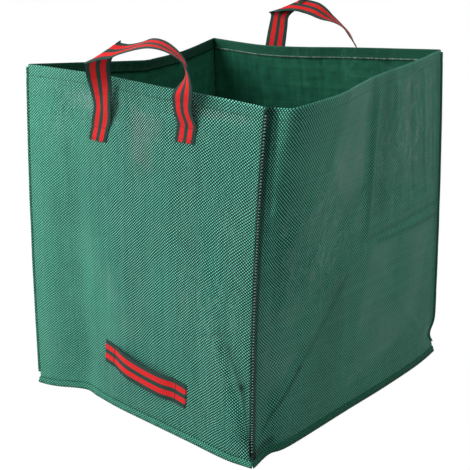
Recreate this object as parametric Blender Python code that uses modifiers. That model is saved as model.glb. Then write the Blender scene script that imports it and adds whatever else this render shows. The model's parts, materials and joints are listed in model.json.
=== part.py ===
"""Square garden waste bag of woven polypropylene with webbing handles.

Units are metres, +Z is up and the bag stands on z = 0. The front wall, which
carries the front carry handle and the tipping handle, faces -Y. Seen from the
front, the right wall faces +X.

Five woven panels are sewn edge to edge. Each wall is one sheet whose top is
turned in and down again as a hem. Sewn edges stand outwards as narrow seams.
"""
import math

import bmesh
import bpy
import numpy as np
from mathutils import Vector
from mathutils.bvhtree import BVHTree

# Driving sizes of the bag
BASE_WIDTH = 0.670
BASE_DEPTH = 0.670
HEIGHT = 0.760
HALF_WIDTH = BASE_WIDTH / 2
HALF_DEPTH = BASE_DEPTH / 2

# Woven sheet, its hem and the gap kept between touching pieces
FABRIC_THICKNESS = 0.0010
PIECE_GAP = 0.0003
HEM_DEPTH = 0.026
HEM_FOLD_RADIUS = 0.0011
HEM_CORNER_TRIM = 0.010
SEAM_LINE_HEIGHT = 0.014

# Seams: two turned-out edges sewn together
SEAM_THICKNESS = 0.0022
CORNER_SEAM_WIDTH = 0.0045
BASE_SEAM_SPREAD = 0.005
BASE_SEAM_LIFT = 0.0012
SEAM_EAR = 0.003

# Base sheet: flat on the ground, turned up to the seam line round its edge
BASE_FLAT_INSET = 0.032
BASE_TURN_INSET = 0.010
BASE_TURN_HEIGHT = 0.0045

# Sewing thread
THREAD_RADIUS = 0.0005
HEM_THREAD_DROP = 0.023

# Webbing of the handles
CARRY_WEBBING_WIDTH = 0.051
TIP_WEBBING_WIDTH = 0.056
WEBBING_THICKNESS = 0.0018
CARRY_SPAN = 0.250
CARRY_RISE = 0.075
CARRY_SEWN_LENGTH = 0.036
RIM_CLEARANCE = 0.006
CARRY_FOLD_HEIGHT = HEIGHT + RIM_CLEARANCE
FOLD_CLEARANCE = 0.0005
WEBBING_PEEL = 0.0036
TIP_SPAN = 0.262
TIP_SEWN_LENGTH = 0.036
TIP_STAND_OFF = 0.011
STITCH_INSET = 0.006

# A slanted line across webbing is lengthened by no more than one over this
SLANT_LEAST = 0.6

# Distance off a wall's face of the middle of webbing and of thread on it
WEBBING_SEAT = PIECE_GAP + WEBBING_THICKNESS / 2
THREAD_SEAT = PIECE_GAP + THREAD_RADIUS

# How finely the soft sheets are divided
WALL_COLUMNS = 22
WALL_ROWS = 17
HEM_ARC_ROWS = 3
STRAP_STEPS = 2
TIP_STEPS = 2
CURVE_STEPS = 12

# A wall goes from its floor line to its rim line by this power of the height
BOW_POWER = 2.2

# Rim places of each wall, walked in turn round the bag: shares of half the
# width, half the depth and the height
RIM_SHARES = {
    "front": ((-0.987, -0.973, 0.999), (-0.463, -0.949, 0.996), (-0.239, -0.943, 0.994),
              (0.299, -0.979, 0.989), (0.776, -0.988, 0.984), (1.021, -1.015, 0.981)),
    "right": ((1.021, -1.015, 0.981), (1.046, -0.964, 0.979), (1.104, -0.970, 0.981),
              (1.173, -0.979, 0.985), (1.218, -0.925, 0.990), (1.233, -0.761, 0.994),
              (1.221, -0.537, 0.996), (1.164, -0.284, 0.999), (1.104, 0.000, 1.001),
              (1.075, 0.313, 1.004), (1.040, 0.651, 1.007), (0.974, 1.045, 1.011)),
    "back": ((0.974, 1.045, 1.011), (0.657, 1.021, 1.003), (0.358, 0.937, 0.999),
             (0.218, 0.910, 0.996), (-0.060, 0.824, 0.991), (-0.358, 0.800, 0.986),
             (-0.657, 0.866, 0.982), (-1.000, 0.961, 0.979)),
    "left": ((-1.000, 0.961, 0.979), (-0.866, 0.440, 0.967), (-0.742, -0.030, 0.972),
             (-0.731, -0.104, 0.973), (-0.742, -0.180, 0.975), (-0.868, -0.560, 0.986),
             (-0.987, -0.973, 0.999)),
}

# Floor places of each wall's seam line: shares of half the width and depth
FLOOR_SHARES = {
    "front": ((-0.962, -1.058), (-0.830, -1.029), (-0.621, -0.933), (-0.463, -0.958),
              (-0.230, -0.996), (0.069, -1.024), (0.448, -1.058), (0.770, -1.089),
              (0.964, -1.076)),
    "right": ((0.964, -1.076), (0.934, -0.881), (0.973, -0.716), (0.991, -0.090),
              (1.006, 0.328), (1.008, 0.746), (0.996, 0.970), (0.978, 1.128)),
    "back": ((0.978, 1.128), (0.400, 1.080), (0.000, 1.065), (-0.500, 1.060),
             (-1.030, 1.045)),
    "left": ((-1.030, 1.045), (-1.010, 0.500), (-1.000, 0.000), (-0.990, -0.500),
             (-0.962, -1.058)),
}

# Direction in which each wall faces
FACING = {
    "front": Vector((0, -1, 0)),
    "right": Vector((1, 0, 0)),
    "back": Vector((0, 1, 0)),
    "left": Vector((-1, 0, 0)),
}
WALLS = list(FACING)

# Columns crowd towards the first corner of a wall where this is above 1
COLUMN_POWER = {"front": 1.0, "right": 1.35, "back": 1.0, "left": 1.0}

# Column at which a wall's hem stitches start: on the right wall they start
# after the tight turn beside its first corner
THREAD_START_COLUMN = {"front": 1, "right": 4, "back": 1, "left": 1}

# Creases and soft folds of a wall, from one place to another in shares of its
# width and height. The third number scales the half-width of a fold and the
# fourth its depth, which is above zero for a ridge that stands outwards.
FOLD_WIDTH = 0.020
FOLD_DEPTH = 0.006
FOLD_SHARES = {
    "front": (
        ((0.60, 0.98), (0.66, 0.35), 2.0, 0.5),
        ((0.20, 0.00), (0.34, 0.42), 1.5, -0.7),
        ((0.99, 0.03), (0.88, 0.34), 0.7, -1.2),
    ),
    "right": (
        ((0.56, 1.00), (0.52, 0.50), 0.5, 0.9),
        ((0.53, 0.50), (0.97, 0.51), 0.5, -0.9),
        ((0.44, 0.95), (0.14, 0.62), 1.0, 1.0),
        ((0.50, 0.67), (0.40, 0.56), 0.5, -0.9),
        ((0.42, 0.50), (0.10, 0.28), 1.0, -1.0),
        ((0.22, 0.26), (0.06, 0.10), 0.7, -1.2),
        ((0.70, 0.92), (0.72, 0.60), 1.0, 0.6),
    ),
    "back": (
        ((0.50, 0.98), (0.50, 0.45), 0.7, -0.6),
    ),
    "left": (
        ((0.50, 0.45), (0.96, 0.04), 1.0, 1.0),
        ((0.50, 0.45), (0.04, 0.04), 1.0, 1.0),
    ),
}
FOLD_FADE_SHARE = 0.09

# The upright corner at each wall's start draws in this far just above the base
PINCH_DEPTHS = {"front": 0, "right": 0.011, "back": 0.011, "left": 0.011}
PINCH_HEIGHT = 0.050
PINCH_REACH = 0.026
PINCH_SPREAD = 0.045

# Carry handles. Ends: lower and upper x of a sewn end as shares of the span
# from the handle's middle, and its cut end's height as a share of the bag's.
# Strap: free webbing from the left sewn end to the right one, with x as a
# share of the span, height over the rim fold as a share of the rise, distance
# off the wall as a share of the webbing's width, then turn and lift in degrees
# of the line across the webbing.
CARRY_SHARES = {
    "front": {
        "middle": 0.037,
        "ends": ((-0.556, -0.508, 0.809), (0.502, 0.524, 0.858)),
        "strap": (
            (-0.474, -1.30, 0.12, 0, 3), (-0.436, -0.93, 0.25, -4, 4),
            (-0.417, -0.39, 0.43, 19, 1), (-0.408, -0.01, 0.55, 42, 0),
            (-0.377, 0.31, 0.69, 45, 5), (-0.310, 0.64, 0.64, 48, 32),
            (-0.195, 0.69, 0.48, 92, 29), (-0.120, 0.745, 0.40, 98, 18),
            (0.000, 0.85, 0.36, 93, 16), (0.130, 0.975, 0.31, 92, 18),
            (0.250, 0.99, 0.26, 90, 9), (0.370, 0.89, 0.22, 91, -6),
            (0.470, 0.73, 0.23, 98, -19), (0.540, 0.56, 0.29, 114, -27),
            (0.575, 0.33, 0.36, 138, -26), (0.578, 0.09, 0.44, 158, -11),
            (0.552, -0.17, 0.46, 174, -6), (0.520, -0.45, 0.32, 175, -6),
            (0.512, -0.72, 0.20, 176, -5),
        ),
    },
    "back": {
        "middle": 0.000,
        "ends": ((-0.500, -0.495, 0.829), (0.490, 0.488, 0.836)),
        "strap": (
            (-0.480, -1.00, 0.14, -4, 0), (-0.450, -0.62, 0.26, 11, 0),
            (-0.430, -0.21, 0.36, 20, 0), (-0.418, 0.39, 0.50, 10, 0),
            (-0.398, 0.80, 0.58, 2, 4), (-0.300, 1.12, 0.64, 40, 23),
            (-0.210, 1.12, 0.74, 92, 27), (-0.130, 1.08, 0.79, 95, 29),
            (-0.040, 1.01, 0.79, 92, 28), (0.030, 0.89, 0.76, 92, 20),
            (0.090, 0.77, 0.73, 98, 9), (0.160, 0.66, 0.68, 102, -4),
            (0.230, 0.53, 0.63, 107, -12), (0.280, 0.41, 0.60, 113, -12),
            (0.320, 0.24, 0.60, 116, -8), (0.360, 0.03, 0.61, 118, -12),
            (0.395, -0.15, 0.60, 122, -8), (0.435, -0.50, 0.42, 150, -5),
            (0.465, -0.82, 0.22, 176, 0), (0.480, -1.10, 0.09, 190, 0),
        ),
    },
}

# Shares of a sewn end's length, up from its cut: where the webbing is laid on
# the wall, where it starts to peel off, its topmost stitch and its fold line
SEWN_SHARES = (0, 0.25, 0.5, 0.75, 1)
PEEL_START_SHARE = 0.75
STITCH_LOW_SHARE = 0.2
STITCH_TOP_SHARE = 0.8
SEWN_TOP_SHARE = 0.88

# Tipping handle: x as a share of its span from its middle, height as a share
# of the bag's, distance off the wall as a share of the stand-off
TIP_MIDDLE_SHARE = 0.030
TIP_SHARES = (
    (-0.500, 0.170, 0.02), (-0.366, 0.165, 0.02), (-0.280, 0.163, 0.60), (-0.195, 0.160, 1),
    (-0.076, 0.152, 1), (0.046, 0.147, 0.95), (0.206, 0.143, 0.85), (0.290, 0.141, 0.50),
    (0.359, 0.139, 0), (0.500, 0.134, 0),
)

# Colour, roughness and metallic value of each kind of piece
FINISHES = {
    "woven sheet": ("#2F7D5B", 0.45, 0.0),
    "webbing": ("#C92A26", 0.80, 0.0),
    "thread": ("#4E6F62", 0.60, 0.0),
}


def clear_scene():
    for obj in list(bpy.data.objects):
        bpy.data.objects.remove(obj, do_unlink=True)


def srgb_to_linear(hex_colour):
    channels = [int(hex_colour[i:i + 2], 16) / 255 for i in (1, 3, 5)]
    linear = [c / 12.92 if c <= 0.04045 else ((c + 0.055) / 1.055) ** 2.4 for c in channels]
    return (*linear, 1.0)


def make_material(name, finish):
    """A Principled material of its own for a piece."""
    colour, roughness, metallic = FINISHES[finish]
    material = bpy.data.materials.new(name)
    material.use_nodes = True
    shader = material.node_tree.nodes["Principled BSDF"]
    shader.inputs["Base Color"].default_value = srgb_to_linear(colour)
    shader.inputs["Roughness"].default_value = roughness
    shader.inputs["Metallic"].default_value = metallic
    return material


def smooth_points(points, steps):
    """Points of a Catmull-Rom curve through the given places."""
    places = np.array(points, float)
    first = 2 * places[0] - places[1]
    last = 2 * places[-1] - places[-2]
    padded = np.vstack((first, places, last))
    curve = []
    for index in range(len(places) - 1):
        a, b, c, d = padded[index:index + 4]
        for t in np.arange(steps) / steps:
            bend = (2 * a - 5 * b + 4 * c - d) * t ** 2 + (3 * b - 3 * c + d - a) * t ** 3
            curve.append((2 * b + (c - a) * t + bend) / 2)
    curve.append(places[-1])
    return np.array(curve)


class Path:
    """A smooth path whose places are read by their share of its length."""

    def __init__(self, points):
        self.points = smooth_points(points, CURVE_STEPS)
        lengths = np.linalg.norm(np.diff(self.points, axis=0), axis=1)
        self.length = float(lengths.sum())
        self.shares = np.concatenate(((0,), np.cumsum(lengths))) / self.length

    def at(self, share):
        return Vector([np.interp(share, self.shares, axis) for axis in self.points.T])


def wall_paths(wall):
    rim = [(x * HALF_WIDTH, y * HALF_DEPTH, z * HEIGHT) for x, y, z in RIM_SHARES[wall]]
    floor = [(x * HALF_WIDTH, y * HALF_DEPTH, SEAM_LINE_HEIGHT) for x, y in FLOOR_SHARES[wall]]
    return Path(floor), Path(rim)


PATHS = {wall: wall_paths(wall) for wall in WALLS}


def fold_offset(wall, u, v):
    """How far the folds of a wall push it outwards at a place (u, v)."""
    offset = 0
    here = Vector((u * BASE_WIDTH, v * HEIGHT))
    for start, end, width, depth in FOLD_SHARES[wall]:
        first = Vector((start[0] * BASE_WIDTH, start[1] * HEIGHT))
        run = Vector((end[0] * BASE_WIDTH, end[1] * HEIGHT)) - first
        along = min(max((here - first).dot(run) / run.length_squared, 0), 1)
        distance = (here - first - run * along).length
        offset += depth * FOLD_DEPTH * math.exp(-(distance / (width * FOLD_WIDTH)) ** 2)
    edges = (u, 1 - u, v, 1 - v)
    return offset * math.prod(min(1, edge / FOLD_FADE_SHARE) for edge in edges)


def corner_pull(place):
    """Draws the upright corners in towards the bag's middle above the base."""
    pull = Vector((0, 0, 0))
    rise = place.z - SEAM_LINE_HEIGHT
    height_fade = math.exp(-((place.z - PINCH_HEIGHT) / PINCH_REACH) ** 2)
    height_fade *= min(1, max(rise, 0) / PINCH_REACH)
    for wall in WALLS:
        corner = PATHS[wall][0].at(0)
        across = Vector((place.x - corner.x, place.y - corner.y, 0))
        inward = Vector((-corner.x, -corner.y, 0)).normalized()
        fade = height_fade * math.exp(-(across.length / PINCH_SPREAD) ** 2)
        pull += inward * PINCH_DEPTHS[wall] * fade
    return pull


def wall_place(wall, u, v):
    """Middle of the wall sheet at u along it and v of the way up to its rim."""
    floor, rim = (path.at(u) for path in PATHS[wall])
    place = floor.lerp(rim, v ** BOW_POWER)
    place.z = floor.z + (rim.z - floor.z) * v
    place += FACING[wall] * fold_offset(wall, u, v)
    return place + corner_pull(place)


def wall_normal(wall, u, v):
    """Outward direction of the wall sheet."""
    step_share = 0.004
    low_u, high_u = max(u - step_share, 0), min(u + step_share, 1)
    low_v, high_v = max(v - step_share, 0), min(v + step_share, 1)
    along = wall_place(wall, high_u, v) - wall_place(wall, low_u, v)
    upward = wall_place(wall, u, high_v) - wall_place(wall, u, low_v)
    return along.cross(upward).normalized()


def wall_columns(wall):
    """Shares along a wall at which its sheet has a line of vertices."""
    return [(column / WALL_COLUMNS) ** COLUMN_POWER[wall] for column in range(WALL_COLUMNS + 1)]


def face_rows():
    """Shares up a wall at which its outer face has a row of vertices."""
    return [*np.linspace(0, 1 - HEM_THREAD_DROP / HEIGHT, WALL_ROWS), 1]


def shaped_grid(columns, rows, place_of):
    """A grid primitive whose vertices are carried to place_of(column, row)."""
    bm = bmesh.new()
    bmesh.ops.create_grid(bm, x_segments=columns, y_segments=rows, size=1)
    for vert in bm.verts:
        column = round((vert.co.x + 1) / 2 * columns)
        row = round((vert.co.y + 1) / 2 * rows)
        vert.co = place_of(column, row)
    return bm


def hem_rows():
    """Rows of a wall: height share, height over the rim, inward offset, corner trim."""
    rows = [(share, 0, 0, 0) for share in face_rows()]
    for step in range(1, HEM_ARC_ROWS + 1):
        angle = math.pi * step / HEM_ARC_ROWS
        inward = HEM_FOLD_RADIUS * (1 - math.cos(angle))
        trim = HEM_CORNER_TRIM * step / HEM_ARC_ROWS
        rows.append((1, HEM_FOLD_RADIUS * math.sin(angle), inward, trim))
    for drop in (HEM_THREAD_DROP, HEM_DEPTH):
        rows.append((1 - drop / HEIGHT, 0, 2 * HEM_FOLD_RADIUS, HEM_CORNER_TRIM))
    return rows


def wall_sheet(wall):
    """The middle surface of a wall, turned in at the top as a hem."""
    rim = PATHS[wall][1]
    columns = wall_columns(wall)
    rows = hem_rows()

    def place_of(column, row):
        v, over, inward, trim = rows[row]
        margin = (FABRIC_THICKNESS + PIECE_GAP + trim) / rim.length
        u = margin + columns[column] * (1 - 2 * margin)
        place = wall_place(wall, u, v) - wall_normal(wall, u, v) * inward
        place.z += over
        return place

    bm = shaped_grid(WALL_COLUMNS, len(rows) - 1, place_of)
    bmesh.ops.triangulate(bm, faces=bm.faces, quad_method="FIXED")
    return bm


def sheet_tree(wall):
    """A search tree of a wall's facets, on which webbing is laid."""
    bm = wall_sheet(wall)
    tree = BVHTree.FromBMesh(bm)
    bm.free()
    return tree


TREES = {wall: sheet_tree(wall) for wall in WALLS}


def outside_wall(wall, x, z, distance):
    """A place at a distance off the outer face of the front or back wall."""
    facing = FACING[wall]
    start = Vector((x, 0, z)) + facing * BASE_DEPTH
    place = TREES[wall].ray_cast(start, -facing)[0]
    return place + facing * (FABRIC_THICKNESS / 2 + distance)


def webbing_line(wall, first, second, stand):
    """Ends of a straight line across webbing that lies clear of a wall."""
    ends = [outside_wall(wall, *spot, stand) for spot in (first, second)]
    facing = FACING[wall]
    lift = 0
    for share in np.linspace(0, 1, 9):
        below = outside_wall(wall, *first.lerp(second, share), stand)
        lift = max(lift, (below - ends[0].lerp(ends[1], share)).dot(facing))
    return [end + facing * lift for end in ends]


def sheet_object(name, finish, bm, thickness, collection, parent=None):
    """Gives an open sheet its thickness and its own material."""
    origin = parent.matrix_world.translation if parent else Vector((0, 0, 0))
    bmesh.ops.recalc_face_normals(bm, faces=bm.faces)
    bmesh.ops.translate(bm, verts=bm.verts, vec=-origin)
    mesh = bpy.data.meshes.new(name)
    bm.to_mesh(mesh)
    bm.free()
    mesh.materials.append(make_material(name, finish))
    mesh.shade_smooth()
    obj = bpy.data.objects.new(name, mesh)
    collection.objects.link(obj)
    obj.parent = parent
    solidify = obj.modifiers.new("sheet thickness", "SOLIDIFY")
    solidify.thickness = thickness
    solidify.offset = 0
    solidify.use_even_offset = True


def axis_empty(name, place, collection, parent=None):
    """An empty on a fold's axis, which carries the pieces that fold there."""
    empty = bpy.data.objects.new(name, None)
    collection.objects.link(empty)
    empty.parent = parent
    empty.location = place - (parent.matrix_world.translation if parent else Vector((0, 0, 0)))
    bpy.context.view_layer.update()
    return empty


def add_wall(wall, collection):
    """A wall panel: one woven sheet with its hem."""
    sheet_object(wall + "_panel", "woven sheet", wall_sheet(wall), FABRIC_THICKNESS, collection)


def base_ring(bm, inset, height):
    """A closed ring of edges along the base's outline, moved in by an inset."""
    verts = []
    for wall in WALLS:
        for share in wall_columns(wall)[:-1]:
            place = PATHS[wall][0].at(share)
            plan = Vector((place.x, place.y, 0))
            plan -= plan.normalized() * inset
            verts.append(bm.verts.new((plan.x, plan.y, height)))
    return [bm.edges.new(pair) for pair in zip(verts, verts[1:] + verts[:1])]


def add_base(collection):
    """The base panel: flat on the ground, its edge turned up to the seam line."""
    middle = FABRIC_THICKNESS / 2
    edge_height = SEAM_LINE_HEIGHT - middle - PIECE_GAP
    bm = bmesh.new()
    flat = base_ring(bm, BASE_FLAT_INSET, middle)
    turn = base_ring(bm, BASE_TURN_INSET, BASE_TURN_HEIGHT)
    edge = base_ring(bm, 0, edge_height)
    bmesh.ops.contextual_create(bm, geom=flat)
    bmesh.ops.bridge_loops(bm, edges=flat + turn)
    bmesh.ops.bridge_loops(bm, edges=turn + edge)
    sheet_object("base_panel", "woven sheet", bm, FABRIC_THICKNESS, collection)


def add_corner_seam(wall, before, collection):
    """The upright seam at a corner: two turned-out edges sewn together."""
    outward = (FACING[wall] + FACING[before]).normalized()
    rows = face_rows()
    rows[0] = 2 * SEAM_THICKNESS / HEIGHT

    def place_of(column, row):
        return wall_place(wall, 0, rows[row]) + outward * column * CORNER_SEAM_WIDTH

    bm = shaped_grid(1, len(rows) - 1, place_of)
    sheet_object(f"{before}_{wall}_corner_seam", "woven sheet", bm, SEAM_THICKNESS, collection)


def add_base_seam(wall, collection):
    """The seam between a wall and the base: it spreads out and down."""
    path = PATHS[wall][0]
    stand = FABRIC_THICKNESS / 2 + 2 * PIECE_GAP + SEAM_THICKNESS / 2
    columns = wall_columns(wall)
    start = -SEAM_EAR if wall in ("front", "back") else SEAM_THICKNESS

    def place_of(column, row):
        u = columns[column]
        outward = wall_normal(wall, u, 0)
        along = outward.cross(Vector((0, 0, -1)))
        place = path.at(u) + outward * (stand + row * BASE_SEAM_SPREAD)
        if column == 0:
            place += along * start
        if column == WALL_COLUMNS:
            place -= along * start
        place.z = BASE_SEAM_LIFT if row else SEAM_LINE_HEIGHT - PIECE_GAP
        return place

    bm = shaped_grid(WALL_COLUMNS, 1, place_of)
    sheet_object(wall + "_base_seam", "woven sheet", bm, SEAM_THICKNESS, collection)


def add_thread(name, places, collection):
    """A run of sewing thread as one thin tube."""
    curve = bpy.data.curves.new(name, "CURVE")
    curve.dimensions = "3D"
    curve.bevel_depth = THREAD_RADIUS
    curve.bevel_resolution = 0
    curve.use_fill_caps = True
    spline = curve.splines.new("POLY")
    spline.points.add(len(places) - 1)
    for point, place in zip(spline.points, places):
        point.co = (*place, 1)
    curve.materials.append(make_material(name, "thread"))
    obj = bpy.data.objects.new(name, curve)
    collection.objects.link(obj)


def add_hem_thread(wall, collection):
    """The line of stitches that holds a wall's hem, on its outer face."""
    bm = wall_sheet(wall)
    bm.normal_update()
    bm.verts.ensure_lookup_table()
    first = (WALL_ROWS - 1) * (WALL_COLUMNS + 1)
    stand = FABRIC_THICKNESS / 2 + THREAD_SEAT
    places = []
    for vert in bm.verts[first + THREAD_START_COLUMN[wall]:first + WALL_COLUMNS]:
        outward = vert.normal * math.copysign(vert.calc_shell_factor(), vert.normal.dot(FACING[wall]))
        places.append(vert.co + outward * stand)
    bm.free()
    add_thread(wall + "_hem_thread", places, collection)


def strap_edges(stations):
    """Both edges of webbing that runs through (middle, across, half-width)."""
    middles = smooth_points([station[0] for station in stations], STRAP_STEPS)
    acrosses = smooth_points([station[1] for station in stations], STRAP_STEPS)
    halves = smooth_points([(station[2],) for station in stations], STRAP_STEPS)[:, 0]
    tangents = np.gradient(middles, axis=0)
    edges = []
    for middle, across, half, tangent in zip(middles, acrosses, halves, tangents):
        across = Vector(across).normalized()
        slant = max(across.cross(Vector(tangent).normalized()).length, SLANT_LEAST)
        reach = across * half / slant
        edges.append((Vector(middle) - reach, Vector(middle) + reach))
    return edges


def strap_grid(edges):
    """Open webbing sheet with two faces across its width."""
    def place_of(column, row):
        first, second = edges[column]
        return first.lerp(second, row / 2)
    return shaped_grid(len(edges) - 1, 2, place_of)


def keep_beyond(bm, place, normal):
    """Cuts a sheet at a plane and keeps the side that its normal points to."""
    geometry = bm.verts[:] + bm.edges[:] + bm.faces[:]
    cut = place + normal * PIECE_GAP
    bmesh.ops.bisect_plane(bm, geom=geometry, plane_co=cut, plane_no=normal, clear_inner=True)
    bmesh.ops.remove_doubles(bm, verts=bm.verts, dist=PIECE_GAP / 3)


def turned_line(turn, lift):
    """Unit vector at a turn round +Z and a lift above level, in degrees."""
    turn, lift = math.radians(turn), math.radians(lift)
    level = math.cos(lift)
    return Vector((math.cos(turn) * level, math.sin(turn) * level, math.sin(lift)))


class CarryHandle:
    """One length of webbing, sewn to a wall by both ends and looped over it."""

    def __init__(self, wall):
        self.wall = wall
        self.shares = CARRY_SHARES[wall]
        self.middle = self.shares["middle"] * HALF_WIDTH
        self.edges = strap_edges(self.stations())
        tops = [self.end_place(end, SEWN_TOP_SHARE)[0] for end in self.shares["ends"]]
        run = Vector((tops[1].x - tops[0].x, 0, tops[1].z - tops[0].z)).normalized()
        self.out_plane = (tops[0] + tops[1]) / 2, run.cross(Vector((0, -1, 0))) * -1
        self.in_plane = Vector((self.middle, 0, CARRY_FOLD_HEIGHT)), Vector((0, 0, 1))

    def end_place(self, end, up):
        """Middle of a sewn end, at a share of its length up from the cut."""
        low_x, high_x, low_z = end
        x = self.middle + (low_x + (high_x - low_x) * up) * CARRY_SPAN
        z = low_z * HEIGHT + up * CARRY_SEWN_LENGTH
        half = CARRY_WEBBING_WIDTH / 2
        stand = WEBBING_SEAT + max(up - PEEL_START_SHARE, 0) * WEBBING_PEEL
        left, right = webbing_line(self.wall, Vector((x - half, z)), Vector((x + half, z)), stand)
        return (left + right) / 2, (right - left).normalized()

    def stations(self):
        left, right = self.shares["ends"]
        half = CARRY_WEBBING_WIDTH / 2
        stations = []
        for up in SEWN_SHARES:
            place, across = self.end_place(left, up)
            stations.append((place, across, half))
        for x_share, rise_share, off_share, turn, lift in self.shares["strap"]:
            x = self.middle + x_share * CARRY_SPAN
            z = CARRY_FOLD_HEIGHT + rise_share * CARRY_RISE
            place = outside_wall(self.wall, x, min(z, HEIGHT - HEM_DEPTH), WEBBING_SEAT)
            place.z = z
            place += FACING[self.wall] * off_share * CARRY_WEBBING_WIDTH
            stations.append((place, turned_line(turn, lift), half))
        for up in reversed(SEWN_SHARES):
            place, across = self.end_place(right, up)
            stations.append((place, -across, half))
        return stations

    def fold_axis(self, plane, direction):
        """Ends of a fold's axis, just clear of the webbing on one side of it."""
        place, normal = plane
        crossings = []
        for edge in (0, 1):
            line = [pair[edge] for pair in self.edges]
            for first, second in zip(line, line[1:]):
                before, after = (first - place).dot(normal), (second - place).dot(normal)
                if before * after < 0:
                    crossings.append(first.lerp(second, before / (before - after)))
        left = max((spot for spot in crossings if spot.x < self.middle), key=direction.dot)
        right = max((spot for spot in crossings if spot.x > self.middle), key=direction.dot)
        excess = max(
            (spot - left.lerp(right, (spot.x - left.x) / (right.x - left.x))).dot(direction)
            for spot in crossings
        )
        shift = direction * (excess + WEBBING_THICKNESS / 2 + FOLD_CLEARANCE)
        return left + shift, right + shift

    def add(self, collection):
        name = self.wall + "_handle_"
        outward = FACING[self.wall]
        out_ends = self.fold_axis(self.out_plane, outward)
        in_ends = self.fold_axis(self.in_plane, -outward)
        fold_out = axis_empty(name + "fold_out", (out_ends[0] + out_ends[1]) / 2, collection)
        fold_in = axis_empty(name + "fold_in", (in_ends[0] + in_ends[1]) / 2, collection, fold_out)
        for label, (first, second) in (("fold_out", out_ends), ("fold_in", in_ends)):
            middle, along = (first + second) / 2, (second - first).normalized()
            print(name + label, [round(c, 5) for c in middle], [round(c, 5) for c in along])
        out_place, out_normal = self.out_plane
        in_place, in_normal = self.in_plane
        for side, label in ((-1, "left"), (1, "right")):
            across = Vector((side, 0, 0))
            end = strap_grid(self.edges)
            keep_beyond(end, out_place, -out_normal)
            keep_beyond(end, in_place, across)
            sheet_object(name + label + "_end", "webbing", end, WEBBING_THICKNESS, collection)
            leg = strap_grid(self.edges)
            keep_beyond(leg, out_place, out_normal)
            keep_beyond(leg, in_place, -in_normal)
            keep_beyond(leg, in_place, across)
            sheet_object(name + label + "_leg", "webbing", leg, WEBBING_THICKNESS, collection, fold_out)
        loop = strap_grid(self.edges)
        keep_beyond(loop, in_place, in_normal)
        sheet_object(name + "loop", "webbing", loop, WEBBING_THICKNESS, collection, fold_in)
        for end, label in zip(self.shares["ends"], ("left", "right")):
            add_thread(name + label + "_stitching", self.stitch_box(end), collection)

    def stitch_box(self, end):
        """Stitches down, across and up again on the face of a sewn end."""
        places = []
        low, top = STITCH_LOW_SHARE, STITCH_TOP_SHARE
        for side, up in ((-1, top), (-1, low), (1, low), (1, top)):
            middle, across = self.end_place(end, up)
            reach = across * side * (CARRY_WEBBING_WIDTH / 2 - STITCH_INSET)
            stand = FACING[self.wall] * (WEBBING_THICKNESS / 2 + THREAD_SEAT)
            places.append(middle + reach + stand)
        return places


def tip_stations():
    """Stations of the tipping handle's webbing from cut end to cut end."""
    middle = TIP_MIDDLE_SHARE * HALF_WIDTH
    half = TIP_WEBBING_WIDTH / 2
    route = smooth_points(TIP_SHARES, TIP_STEPS) * (TIP_SPAN, HEIGHT, TIP_STAND_OFF)
    stations = []
    for (x, z, off), (run_x, run_z, _) in zip(route, np.gradient(route, axis=0)):
        spot = Vector((middle + x, z))
        across = Vector((-run_z, run_x)).normalized() * half
        stand = WEBBING_SEAT + max(off, 0)
        low, high = webbing_line("front", spot - across, spot + across, stand)
        stations.append(((low + high) / 2, (high - low).normalized(), half))
    return stations


def add_tip_handle(collection):
    """The tipping handle: sewn ends and the grip that pulls off the wall."""
    stations = tip_stations()
    edges = strap_edges(stations)
    along = Vector((1, 0, 0))
    left = stations[0][0] + along * TIP_SEWN_LENGTH
    right = stations[-1][0] - along * TIP_SEWN_LENGTH
    pull = axis_empty("tip_handle_pull", (left + right) / 2, collection)
    grip = strap_grid(edges)
    keep_beyond(grip, left, along)
    keep_beyond(grip, right, -along)
    sheet_object("tip_handle_grip", "webbing", grip, WEBBING_THICKNESS, collection, pull)
    stand = FACING["front"] * (WEBBING_THICKNESS / 2 + THREAD_SEAT)
    for label, place, side in (("left", left, -1), ("right", right, 1)):
        end = strap_grid(edges)
        keep_beyond(end, place, along * side)
        sheet_object(f"tip_handle_{label}_end", "webbing", end, WEBBING_THICKNESS, collection)
        x = place.x + side * STITCH_INSET
        low, high = min(edges, key=lambda pair: abs((pair[0].x + pair[1].x) / 2 - x))
        margin = STITCH_INSET / TIP_WEBBING_WIDTH
        line = [low.lerp(high, share) + stand for share in (margin, 0.5, 1 - margin)]
        add_thread(f"tip_handle_{label}_stitching", line, collection)


def build():
    clear_scene()
    collection = bpy.data.collections.new("garden_leaf_bag")
    bpy.context.scene.collection.children.link(collection)
    for index, wall in enumerate(WALLS):
        add_wall(wall, collection)
        add_corner_seam(wall, WALLS[index - 1], collection)
        add_base_seam(wall, collection)
        add_hem_thread(wall, collection)
    add_base(collection)
    for wall in CARRY_SHARES:
        CarryHandle(wall).add(collection)
    add_tip_handle(collection)


build()
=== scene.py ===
"""Looks of a square garden waste bag of woven polypropylene with webbing handles.

Metres, +Z up, in the same frame as the bag's solids. The front wall faces -Y and
the right wall +X. Each wall is one woven sheet that is turned in as a hem.
"""
import json
import math
from functools import partial

import bmesh
import bpy
import numpy as np
from mathutils import Matrix, Vector, noise
from mathutils.bvhtree import BVHTree


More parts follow.
